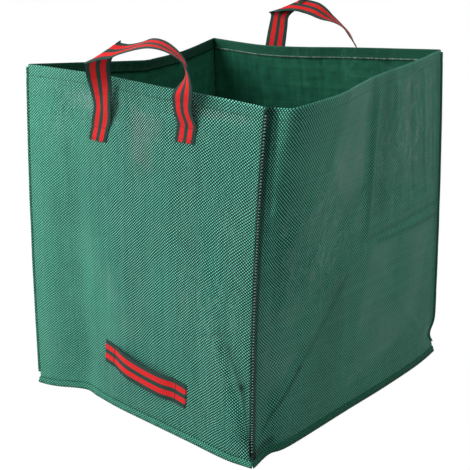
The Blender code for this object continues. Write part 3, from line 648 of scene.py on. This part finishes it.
def slack(wall, u, v):
    """Long waves and small crumples of a stiff sheet that was folded for storage."""
    x, y, seed = u * BASE_WIDTH, v * HEIGHT, CRUMPLE_SEED[wall]
    wave = noise_at(x / WAVE_LENGTH, y / WAVE_LENGTH / 1.6, seed)
    bend = noise_at(x / CRUMPLE_LENGTH, y / CRUMPLE_LENGTH, seed + 5)
    crest = 1 - 3 * np.abs(noise_at(x / CRUMPLE_LENGTH + bend, y / CRUMPLE_LENGTH, seed + 9))
    return (WAVE_DEPTH * wave + CRUMPLE_DEPTH * crest) * edge_fade(u, v, FOLD_FADE_SHARE / 2)


def corner_pull(place):
    """Draws the upright corners in towards the bag's middle above the base."""
    height_fade = np.exp(-((place[..., 2] - PINCH_HEIGHT) / PINCH_REACH) ** 2)
    height_fade *= np.clip((place[..., 2] - SEAM_LINE_HEIGHT) / PINCH_REACH, 0, 1)
    pull = np.zeros(place.shape)
    for wall in WALLS:
        corner = PATHS[wall][0].at(0) * (1, 1, 0)
        across = np.linalg.norm((place - corner)[..., :2], axis=-1)
        near = PINCH_DEPTHS[wall] * height_fade * np.exp(-(across / PINCH_SPREAD) ** 2)
        pull += near[..., None] * -unit(corner)
    return pull


def wall_place(wall, u, v, fine):
    """Middle of the wall sheet at u along it and v of the way up to its rim,
    pushed out by its fine slack."""
    floor, rim = (path.at(u) for path in PATHS[wall])
    place = floor + (rim - floor) * (v ** BOW_POWER)[..., None]
    place[..., 2] = floor[..., 2] + (rim[..., 2] - floor[..., 2]) * v
    push = fold_offset(wall, u, v) + fine
    place += np.array(FACING[wall]) * push[..., None]
    return place + corner_pull(place)


def outward_of(places):
    """Outward unit directions of a grid of places, rows upwards."""
    along, upward = np.gradient(places, axis=1), np.gradient(places, axis=0)
    return unit(np.cross(along, upward))


def grid_mesh(places, cloth):
    """A grid primitive carried to an array of places, with its cloth UV."""
    rows, columns = places.shape[0] - 1, places.shape[1] - 1
    bm = bmesh.new()
    bmesh.ops.create_grid(bm, x_segments=columns, y_segments=rows, size=1)
    layer = bm.loops.layers.uv.new("cloth")
    for vert in bm.verts:
        column = round((vert.co.x + 1) / 2 * columns)
        row = round((vert.co.y + 1) / 2 * rows)
        vert.co = places[row, column]
        for loop in vert.link_loops:
            loop[layer].uv = cloth[row, column]
    return bm


def cloth_coordinates(places):
    """Distances along and up a sheet in metres, measured on it."""
    width = np.linalg.norm(np.diff(places, axis=1), axis=-1).mean(axis=0)
    height = np.linalg.norm(np.diff(places, axis=0), axis=-1).mean(axis=1)
    x, y = (np.concatenate(((0,), np.cumsum(steps))) for steps in (width, height))
    return np.stack(np.meshgrid(x, y), axis=-1)


COLUMNS = {wall: np.linspace(0, 1, WALL_COLUMNS + 1) ** COLUMN_POWER[wall] for wall in WALLS}
HEM_DROPS = [*np.linspace(0, HEM_DEPTH - CUT_EDGE_DEPTH, HEM_FLAP_ROWS)[1:], HEM_DEPTH]


def wall_grid(wall):
    """Places of a wall's sheet: up its face, over the hem's fold and down inside."""
    columns = COLUMNS[wall]
    u, v = np.meshgrid(columns, np.linspace(0, 1, WALL_ROWS + 1))
    drop = (v - 1) * HEIGHT + HEM_STITCH_DROP
    fine = slack(wall, u, v) - STITCH_DIMPLE * np.exp(-(drop / STITCH_DIMPLE_WIDTH) ** 2)
    face = wall_place(wall, u, v, fine)
    outward = outward_of(face)
    hem_columns = [columns * (1 - 2 * trim) + trim for trim in
                   np.linspace(0, HEM_CORNER_TRIM / PATHS[wall][1].length, HEM_ARC_ROWS + 1)]
    rim_rows = []
    for step in range(1, HEM_ARC_ROWS + 1):
        angle = math.pi * step / HEM_ARC_ROWS
        row = wall_place(wall, hem_columns[step], np.ones(len(columns)), fine[-1])
        row = row - outward[-1] * HEM_FOLD_RADIUS * (1 - math.cos(angle))
        row[:, 2] += HEM_FOLD_RADIUS * math.sin(angle)
        rim_rows.append(row)
    for drop in HEM_DROPS:
        share = 1 - drop / HEIGHT
        index = min(round(share * WALL_ROWS), WALL_ROWS)
        row = wall_place(wall, hem_columns[-1], np.full(len(columns), share), fine[index])
        rim_rows.append(row - outward[index] * 2 * HEM_FOLD_RADIUS)
    return np.concatenate((face, np.array(rim_rows)))


GRIDS = {wall: wall_grid(wall) for wall in WALLS}


def link_object(name, data):
    obj = bpy.data.objects.new(name, data)
    bpy.context.scene.collection.objects.link(obj)
    return obj


def mesh_object(name, bm, materials=()):
    mesh = bpy.data.meshes.new(name)
    bm.to_mesh(mesh)
    bm.free()
    for material in materials:
        mesh.materials.append(material)
    return link_object(name, mesh)


def add_object(name, bm, materials, body="bag", nodes=()):
    """Makes a finished object of a mesh that rides on a body."""
    obj = mesh_object(name, bm, materials)
    obj.data.shade_smooth()
    if body:
        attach(obj, body)
    if nodes:
        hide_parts(*nodes)
    return obj


def thicken(obj, thickness, inner=0, rim=0):
    solidify = obj.modifiers.new("cloth thickness", "SOLIDIFY")
    solidify.thickness = thickness
    solidify.offset = 0
    solidify.material_offset = inner
    solidify.material_offset_rim = rim


def mark_sheet(obj, wall):
    """Marks where a wall has painted glints, where it is crumpled, where it has painted sheen, and where
    painted shade or painted highlights make it darker or lighter.
    """
    start, end = GLINT_SHARES[wall]
    hem_rows = [1 - drop / HEIGHT for drop in HEM_DROPS]
    rows = [*np.linspace(0, 1, WALL_ROWS + 1), *[1] * HEM_ARC_ROWS, *hem_rows]
    share, height = (grid.ravel() for grid in np.meshgrid(COLUMNS[wall], rows))
    patch = noise_at(share * 4, height * 4, CRUMPLE_SEED[wall] + 70) * 0.35
    crumple = np.full(len(share), CRUMPLE_FLOOR)
    for middle, level, reach, rise, amount in CRUMPLE_SPOTS[wall]:
        crumple += amount * np.exp(-((share - middle) / reach) ** 2 - ((height - level) / rise) ** 2)
    first, last, depth = SHADE_STRIPS.get(wall, (0, 0, 0))
    inside = np.clip(np.minimum(share - first, last - share) / SHADE_BLUR, 0, 1)
    painted_sheen = PAINTED_SHEEN_FLOOR[wall] + facet_sum(PAINTED_SHEEN_FACETS.get(wall, ()), share, height)
    marks = {
        "painted_glint": np.clip((share - start) / (end - start) + patch, 0, 1),
        "crumple": crumple,
        "shade": SHADE_FLOOR[wall] + depth * inside + line_sum(SHADE_LINES.get(wall, ()), share, height),
        "painted_sheen": painted_sheen * (0.75 + noise_at(share * 9, height * 7, CRUMPLE_SEED[wall] + 90)),
    }
    for name, values in marks.items():
        obj.data.attributes.new(name, "FLOAT", "POINT").data.foreach_set("value", values.astype(np.float32))


def add_wall(wall):
    """A wall: woven outside, coated inside, with its cut edge below the hem. The
    hem flap and, on the left wall, the edge as well are a darker copy of the woven
    cloth, painted shade inside the bag. The warp runs across the front and back
    walls and up the other two."""
    places = GRIDS[wall]
    cloth = cloth_coordinates(places)
    if wall in ("right", "left"):
        cloth = cloth[..., ::-1]
    bm = grid_mesh(places, cloth)
    bm.faces.ensure_lookup_table()
    turn_row = WALL_ROWS + HEM_ARC_ROWS // 2
    edge_row = places.shape[0] - 2
    for face in bm.faces[turn_row * WALL_COLUMNS:]:
        face.material_index = 2
    for face in bm.faces[edge_row * WALL_COLUMNS:]:
        face.material_index = 3
    edge = SHADED_HEM_CLOTH if wall == "left" else CUT_EDGE
    obj = add_object(wall + "_wall_cloth", bm, [OUTSIDE, INSIDE, SHADED_HEM_CLOTH, edge],
                     nodes=[wall + "_panel"])
    mark_sheet(obj, wall)
    thicken(obj, CLOTH_THICKNESS, inner=1, rim=3)


def base_place(u, v):
    """A place on the base sheet between the floor lines of the four walls."""
    front, right, back, left = (PATHS[wall][0] for wall in WALLS)
    low, high = front.at(u), back.at(1 - u)
    near, far = left.at(1 - v), right.at(v)
    corners = [front.at(0.0), front.at(1.0), back.at(1.0), back.at(0.0)]
    shares = [(1 - u) * (1 - v), u * (1 - v), (1 - u) * v, u * v]
    ruled = low * (1 - v)[..., None] + high * v[..., None] + near * (1 - u)[..., None] + far * u[..., None]
    return ruled - sum(share[..., None] * corner for share, corner in zip(shares, corners))


# Height of the base sheet at distances in from its edge
BASE_EDGE = ((0, SEAM_LINE_HEIGHT - 0.001), (0.010, 0.0045), (0.032, CLOTH_THICKNESS))


def add_base():
    """The base sheet: flat on the ground with its edge turned up to the seam."""
    reach = BASE_EDGE[-1][0]
    inset = np.sin(np.linspace(0, math.pi / 2, 9)) ** 2 * reach / BASE_WIDTH
    middle = np.linspace(inset[-1], 1 - inset[-1], BASE_STEPS)[1:-1]
    steps = np.concatenate((inset, middle, 1 - inset[::-1]))
    u, v = np.meshgrid(steps, steps)
    places = base_place(u, v)
    edge = np.minimum.reduce((u, 1 - u, v, 1 - v)) * BASE_WIDTH
    rise = np.interp(edge, *zip(*BASE_EDGE))
    ripple = noise_at(u * 9, v * 9, 51.3) + 0.5 * noise_at(u * 23, v * 23, 57.9)
    lift = np.clip((edge - reach) / BASE_RIPPLE_REACH, 0, 1) * np.clip(ripple, 0, 1) * BASE_RIPPLE
    places[..., 2] = rise + lift
    bm = grid_mesh(places, cloth_coordinates(places))
    for face in bm.faces:
        face.normal_flip()
    obj = add_object("base_cloth", bm, [OUTSIDE, INSIDE, CUT_EDGE], nodes=["base_panel"])
    thicken(obj, CLOTH_THICKNESS, inner=1, rim=2)


def add_stitch(bm, start, end, radius):
    """One stitch: a thin six-sided thread from one hole to the next."""
    start, end = Vector(start), Vector(end)
    run = end - start
    turn = run.to_track_quat("Z", "Y").to_matrix().to_4x4()
    bmesh.ops.create_cone(bm, cap_ends=True, segments=6, radius1=radius, radius2=radius,
                          depth=run.length, matrix=Matrix.Translation((start + end) / 2) @ turn)


def stitch_row(bm, line, outward, stand, radius=STITCH_RADIUS):
    """Even stitches along a line of places that stand off a sheet."""
    lengths = run_lengths(line)
    lifted = line + outward * stand
    for start in np.arange(STITCH_PITCH / 2, lengths[-1] - STITCH_LENGTH, STITCH_PITCH):
        add_stitch(bm, *along_line((start, start + STITCH_LENGTH), lengths, lifted), radius)


def add_hem_stitches(wall):
    """The line of stitches that holds a wall's hem, in its own small dimple."""
    places = GRIDS[wall][:WALL_ROWS + 1]
    outward = outward_of(places)
    row = (1 - HEM_STITCH_DROP / HEIGHT) * WALL_ROWS
    low, share = int(row), row - int(row)
    line = between(places[low], places[low + 1], share)
    bm = bmesh.new()
    stitch_row(bm, line[1:-1], outward[low][1:-1], CLOTH_THICKNESS / 2 + STITCH_RADIUS * 0.4)
    add_object(wall + "_hem_stitches", bm, [HEM_THREAD], nodes=[wall + "_hem_thread"])


def overlock(bm, inner, outer, side, thickness):
    """Thread wound over a seam's edge: up one face, round the edge and back."""
    lengths = run_lengths(outer)
    stand = thickness / 2 + OVERLOCK_RADIUS * 0.5
    for start in np.arange(OVERLOCK_PITCH, lengths[-1] - OVERLOCK_PITCH, OVERLOCK_PITCH):
        normal, inside = (along_line(start, lengths, line) for line in (side, inner))
        edge = along_line(start + OVERLOCK_PITCH * 0.35, lengths, outer)
        beyond = edge + (edge - inside) * 0.06
        for lift in (-normal * stand, normal * stand):
            add_stitch(bm, inside + lift, beyond + lift * 0.7, OVERLOCK_RADIUS)
        add_stitch(bm, beyond + normal * stand, beyond - normal * stand, OVERLOCK_RADIUS)


def add_seam(name, inner, outer, thickness, cloth, thread, start=0.45):
    """Two turned-out edges sewn together, with overlock yarn round them that
    starts at a share of the way out."""
    share = np.linspace(0, 1, 4)[:, None, None]
    places = between(inner, outer, share)
    bm = grid_mesh(places, cloth_coordinates(places))
    obj = add_object(name + "_cloth", bm, [cloth], nodes=[name])
    thicken(obj, thickness)
    bm = bmesh.new()
    overlock(bm, between(inner, outer, start), outer, outward_of(places)[1], thickness)
    add_object(name + "_overlock", bm, [thread])


def add_corner_seam(wall, before):
    outward = np.array((FACING[wall] + FACING[before]).normalized())
    corner = GRIDS[wall][3:WALL_ROWS, 0]
    wander = noise_at(corner[:, 2] * 12, 0.0, CRUMPLE_SEED[wall]) * 0.15
    edge = corner + outward * CORNER_SEAM_WIDTH * (1 + wander)[:, None]
    # The front right seam's cloth and the right back seam's cloth are darker copies of the woven cloth:
    # painted shade
    cloth = {"right": SHADED_SEAM_CLOTH, "back": SHADED_HEM_CLOTH}.get(wall, OUTSIDE)
    thread = SEAM_THREAD if wall == "right" else HEM_THREAD
    add_seam(f"{before}_{wall}_corner_seam", corner, edge, SEAM_THICKNESS, cloth, thread)


def add_base_seam(wall):
    path = PATHS[wall][0]
    share = np.linspace(0, 1, WALL_COLUMNS + 1)
    inner = path.at(share)
    along = unit(np.gradient(inner, axis=0))
    outward = unit(np.cross(along, (0, 0, 1)))
    inner = inner + outward * CLOTH_THICKNESS / 2
    outer = inner + outward * BASE_SEAM_SPREAD
    for line in (inner, outer):
        line[0] -= along[0] * SEAM_EAR
        line[-1] += along[-1] * SEAM_EAR
    outer[:, 2] = BASE_SEAM_FOOT
    # The front base seam's cloth is painted darker than the outside; the others' cloth is the darker hem
    # copy with dark thread: painted shade under seams that face down
    cloth, thread = (SHADED_FRONT_SEAM_CLOTH, HEM_THREAD) if wall == "front" else (SHADED_HEM_CLOTH, DARK_THREAD)
    add_seam(wall + "_base_seam", inner, outer, BASE_SEAM_THICKNESS, cloth, thread, 0.65)


# ---------------------------------------------------------------- webbing
TREES = {wall: BVHTree.FromBMesh(grid_mesh(GRIDS[wall], cloth_coordinates(GRIDS[wall])))
         for wall in CARRY_SHARES}


def outside_wall(wall, x, z, distance):
    """A place at a distance off the outer face of the front or back wall."""
    facing = FACING[wall]
    start = Vector((x, 0, z)) + facing * BASE_DEPTH
    return TREES[wall].ray_cast(start, -facing)[0] + facing * (CLOTH_THICKNESS / 2 + distance)


def webbing_line(wall, first, second, stand):
    """Ends of a straight line across webbing that lies clear of a wall."""
    ends = [outside_wall(wall, *spot, stand) for spot in (first, second)]
    facing = FACING[wall]
    lift = 0
    for share in np.linspace(0, 1, 13):
        below = outside_wall(wall, *first.lerp(second, share), stand)
        lift = max(lift, (below - ends[0].lerp(ends[1], share)).dot(facing))
    return [end + facing * lift for end in ends]


def strap_edges(stations, width):
    """Both edges of webbing through its stations of a middle and a line across."""
    middles, acrosses = (smooth_points(places, STRAP_STEPS) for places in zip(*stations))
    acrosses, tangents = unit(acrosses), unit(np.gradient(middles, axis=0))
    slant = np.maximum(np.linalg.norm(np.cross(acrosses, tangents), axis=1), SLANT_LEAST)
    reach = acrosses * (width / 2 / slant)[:, None]
    return np.stack((middles - reach, middles + reach))


def turned_line(turn, lift):
    """Unit vector at a turn round +Z and a lift above level, in degrees."""
    turn, lift = math.radians(turn), math.radians(lift)
    return Vector((math.cos(turn) * math.cos(lift), math.sin(turn) * math.cos(lift), math.sin(lift)))


def sewn_place(wall, end, up):
    """Middle and line across of a carry handle's sewn end at a share of its rise."""
    low_x, high_x, low_z = end
    x = CARRY_SHARES[wall]["middle"] * HALF_WIDTH + (low_x + (high_x - low_x) * up) * CARRY_SPAN
    z = low_z * HEIGHT + up * CARRY_SEWN_LENGTH
    half = CARRY_WEBBING_WIDTH / 2
    stand = WEBBING_SEAT + max(up - SEWN_SHARES[3], 0) * WEBBING_PEEL
    left, right = webbing_line(wall, Vector((x - half, z)), Vector((x + half, z)), stand)
    return (left + right) / 2, (right - left).normalized()


def carry_stations(wall):
    """Stations up one sewn end, along the free webbing and down the other."""
    shares = CARRY_SHARES[wall]
    stations = [sewn_place(wall, shares["ends"][0], up) for up in SEWN_SHARES]
    for x_share, rise_share, off_share, turn, lift in shares["strap"]:
        x = shares["middle"] * HALF_WIDTH + x_share * CARRY_SPAN
        z = CARRY_FOLD_HEIGHT + rise_share * CARRY_RISE
        place = outside_wall(wall, x, min(z, HEIGHT - HEM_DEPTH), WEBBING_SEAT)
        place.z = z
        place += FACING[wall] * off_share * CARRY_WEBBING_WIDTH
        stations.append((place, turned_line(turn, lift)))
    for up in reversed(SEWN_SHARES):
        place, across = sewn_place(wall, shares["ends"][1], up)
        stations.append((place, -across))
    return stations


def tip_stations():
    """Stations along the tipping handle, from its left end to its right one."""
    middle = TIP_MIDDLE_SHARE * HALF_WIDTH
    route = smooth_points(TIP_SHARES, 2) * (TIP_SPAN, HEIGHT, TIP_STAND_OFF)
    stations = []
    for (x, z, off), (run_x, run_z, _) in zip(route, np.gradient(route, axis=0)):
        spot = Vector((middle + x, z))
        across = Vector((-run_z, run_x)).normalized() * TIP_WEBBING_WIDTH / 2
        low, high = webbing_line("front", spot - across, spot + across, WEBBING_SEAT + max(off, 0))
        stations.append(((low + high) / 2, (high - low).normalized()))
    return stations


def fray(bm, layer, line, along, seed):
    """Loose yarn ends at a cut end of webbing."""
    rng = np.random.default_rng(seed)
    for share in np.linspace(0.03, 0.97, 30):
        start = between(*line, share)
        lean = np.array((rng.normal(0, 0.25), rng.normal(0, 0.15), rng.normal(0, 0.25)))
        end = start + unit(along + lean) * rng.uniform(*FRAY_LENGTHS)
        before = set(bm.faces)
        add_stitch(bm, start, end, FRAY_RADIUS)
        for face in set(bm.faces) - before:
            for loop in face.loops:
                loop[layer].uv = (share, 0)


def strap_mesh(edges, first, last, frayed=None):
    """Webbing between two stations, thick, with rounded edges. Its frayed end is
    a station, the step inwards from it and a seed."""
    share = np.linspace(0, 1, STRAP_FACES + 1)[:, None, None]
    distance = run_lengths(edges.mean(axis=0))[first:last + 1]
    places = between(*edges[:, first:last + 1], share)
    cloth = np.stack(np.meshgrid(distance, share[:, 0, 0]), axis=-1)[..., ::-1]
    rough = mesh_object("webbing", grid_mesh(places, cloth))
    thicken(rough, WEBBING_THICKNESS)
    bevel = rough.modifiers.new("rounded edge", "BEVEL")
    bevel.width = WEBBING_EDGE_RADIUS
    bevel.segments = 2
    bevel.limit_method = "ANGLE"
    bevel.angle_limit = math.radians(50)
    bpy.context.view_layer.update()
    solid = bpy.data.meshes.new_from_object(rough.evaluated_get(bpy.context.evaluated_depsgraph_get()))
    bpy.data.objects.remove(rough)
    bm = bmesh.new()
    bm.from_mesh(solid)
    if frayed:
        end, inward, seed = frayed
        along = edges[:, end].mean(axis=0) - edges[:, end + inward].mean(axis=0)
        fray(bm, bm.loops.layers.uv["cloth"], edges[:, end], unit(along), seed)
    return bm


def strap_stitches(bm, edges, track, wall, radius=STITCH_RADIUS):
    """Stitches over webbing along a track of (station, share across) places."""
    line = []
    for (row_a, share_a), (row_b, share_b) in zip(track, track[1:]):
        for t in np.linspace(0, 1, 12):
            row, share = between(row_a, row_b, t), between(share_a, share_b, t)
            low = int(min(row, edges.shape[1] - 2))
            line.append(between(*between(edges[:, low], edges[:, low + 1], row - low), share))
    stand = WEBBING_THICKNESS / 2 + radius * 0.4
    stitch_row(bm, np.array(line), np.array(FACING[wall]), stand, radius)


def add_carry_handle(wall):
    """A carry handle: two straps sewn on, and the loop that joins their tops."""
    edges = strap_edges(carry_stations(wall), CARRY_WEBBING_WIDTH)
    count = edges.shape[1]
    rising, falling = np.flatnonzero(edges.mean(axis=0)[:, 2] > CARRY_SPLIT_HEIGHT)[[0, -1]]
    joint = next(joint for joint in frame["joints"] if joint["name"] == wall + "_handle_fold_out")
    axis, pivot = Vector(joint["axis"]), Vector(joint["pos_m"])
    upward = axis.cross(FACING[wall])
    upward = upward.normalized() * math.copysign(1, upward.z)
    sides = (("left", 0, rising, (0, 1, 5)), ("right", falling, count - 1, (count - 1, -1, 9)))
    for side, first, last, frayed in sides:
        bm = strap_mesh(edges, first, last, frayed)
        obj = add_object(f"{wall}_carry_{side}_strap", bm, [WEBBING], body=None,
                         nodes=[f"{wall}_handle_{side}_end", f"{wall}_handle_{side}_leg"])
        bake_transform(obj)
        cut, inward, _ = frayed
        low, high = (cut + inward * STRAP_STEPS * rows for rows in (0.5, 3.4))
        bm = bmesh.new()
        track = [(high, 0.10), (low, 0.10), (low, 0.90), (high, 0.90), (high, 0.10)]
        strap_stitches(bm, edges, track, wall)
        add_object(f"{wall}_carry_{side}_stitches", bm, [DARK_THREAD],
                   nodes=[f"{wall}_handle_{side}_stitching"])
    obj = add_object(wall + "_carry_loop", strap_mesh(edges, rising, falling), [WEBBING],
                     body=None, nodes=[wall + "_handle_loop"])
    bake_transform(obj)


def add_tip_handle():
    """The tipping handle, in two halves that stand off the wall between their sewn ends."""
    edges = strap_edges(tip_stations(), TIP_WEBBING_WIDTH)
    count = edges.shape[1]
    middle = count // 2
    spots = edges.mean(axis=0)[:, 0]
    halves = (
        ("left", 0, middle, (0, 1, 21), ["tip_handle_grip"], 0.9),
        ("right", middle, count - 1, (count - 1, -1, 33), [], 0.0),
    )
    for side, first, last, frayed, grip, lean in halves:
        bm = strap_mesh(edges, first, last, frayed)
        obj = add_object(f"tipping_{side}_strap", bm, [WEBBING], body=None,
                         nodes=[f"tip_handle_{side}_end", *grip])
        cut, inward, _ = frayed
        sewn = spots[cut] + inward * TIP_SEWN_LENGTH
        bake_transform(obj)
        row = float(np.interp(sewn - inward * TIP_STITCH_INSET, spots, np.arange(count)))
        bm = bmesh.new()
        strap_stitches(bm, edges, [(row - lean, 0.06), (row + lean, 0.94)], "front", TIP_STITCH_RADIUS)
        add_object(f"tipping_{side}_stitches", bm, [DARK_THREAD],
                   nodes=[f"tip_handle_{side}_stitching"])


# ---------------------------------------------------------------- the set
PHOTO_SIDE = 470
CAMERA_FOCAL = 1097.4
CAMERA_SHIFT = (2.4, 14.0)
CAMERA_AZIMUTH = 38.68
CAMERA_ELEVATION = 17.4
CAMERA_ROLL = -0.33
CAMERA_DISTANCE = 2.592
CAMERA_TARGET = Vector((0, 0, 0.3779))


def add_camera():
    back = turned_line(CAMERA_AZIMUTH - 90, CAMERA_ELEVATION)
    right = turned_line(CAMERA_AZIMUTH, 0)
    axes = Matrix((right, back.cross(right), back)).transposed().to_4x4()
    data = bpy.data.cameras.new("camera")
    data.sensor_width = 36
    data.lens = CAMERA_FOCAL / PHOTO_SIDE * data.sensor_width
    data.shift_x, data.shift_y = (-shift / PHOTO_SIDE for shift in CAMERA_SHIFT)
    data.clip_end = 100
    camera = link_object("camera", data)
    camera.matrix_world = (Matrix.Translation(CAMERA_TARGET + back * CAMERA_DISTANCE) @ axes
                           @ Matrix.Rotation(math.radians(CAMERA_ROLL), 4, "Z"))
    bpy.context.scene.camera = camera


def add_lamp(name, azimuth, elevation, distance, size, power):
    """A square softbox that points at the middle of the bag."""
    back = turned_line(azimuth - 90, elevation)
    data = bpy.data.lights.new(name, "AREA")
    data.size = size
    data.energy = power
    lamp = link_object(name, data)
    lamp.location = CAMERA_TARGET + back * distance
    lamp.rotation_mode = "QUATERNION"
    lamp.rotation_quaternion = back.to_track_quat("Z", "Y")


def add_world():
    world = bpy.data.worlds.new("studio")
    bpy.context.scene.world = world
    world.use_nodes = True
    tree, add = world.node_tree, partial(add_node, world)
    ambient = tree.nodes["Background"]
    ambient.inputs["Color"].default_value = linear("#FFFFFF")
    ambient.inputs["Strength"].default_value = 0.24
    white = add("Background", {"Color": linear("#FFFFFF")})
    mixed = add("MixShader", (seen_rays(add), ambient.outputs[0], white))
    tree.links.new(mixed, tree.nodes["World Output"].inputs["Surface"])


def add_floor():
    bm = bmesh.new()
    bmesh.ops.create_grid(bm, x_segments=1, y_segments=1, size=30)
    mesh_object("studio_floor", bm, [floor_material()])


bpy.context.scene.view_settings.view_transform = "Standard"
add_camera()
add_world()
add_lamp("key_softbox", -38, 30, 3.2, 2.3, 90)
add_lamp("top_softbox", 70, 60, 2.8, 1.6, 22)
add_floor()

for index, wall in enumerate(WALLS):
    add_wall(wall)
    add_hem_stitches(wall)
    add_corner_seam(wall, WALLS[index - 1])
    add_base_seam(wall)
add_base()
for wall in CARRY_SHARES:
    add_carry_handle(wall)
add_tip_handle()
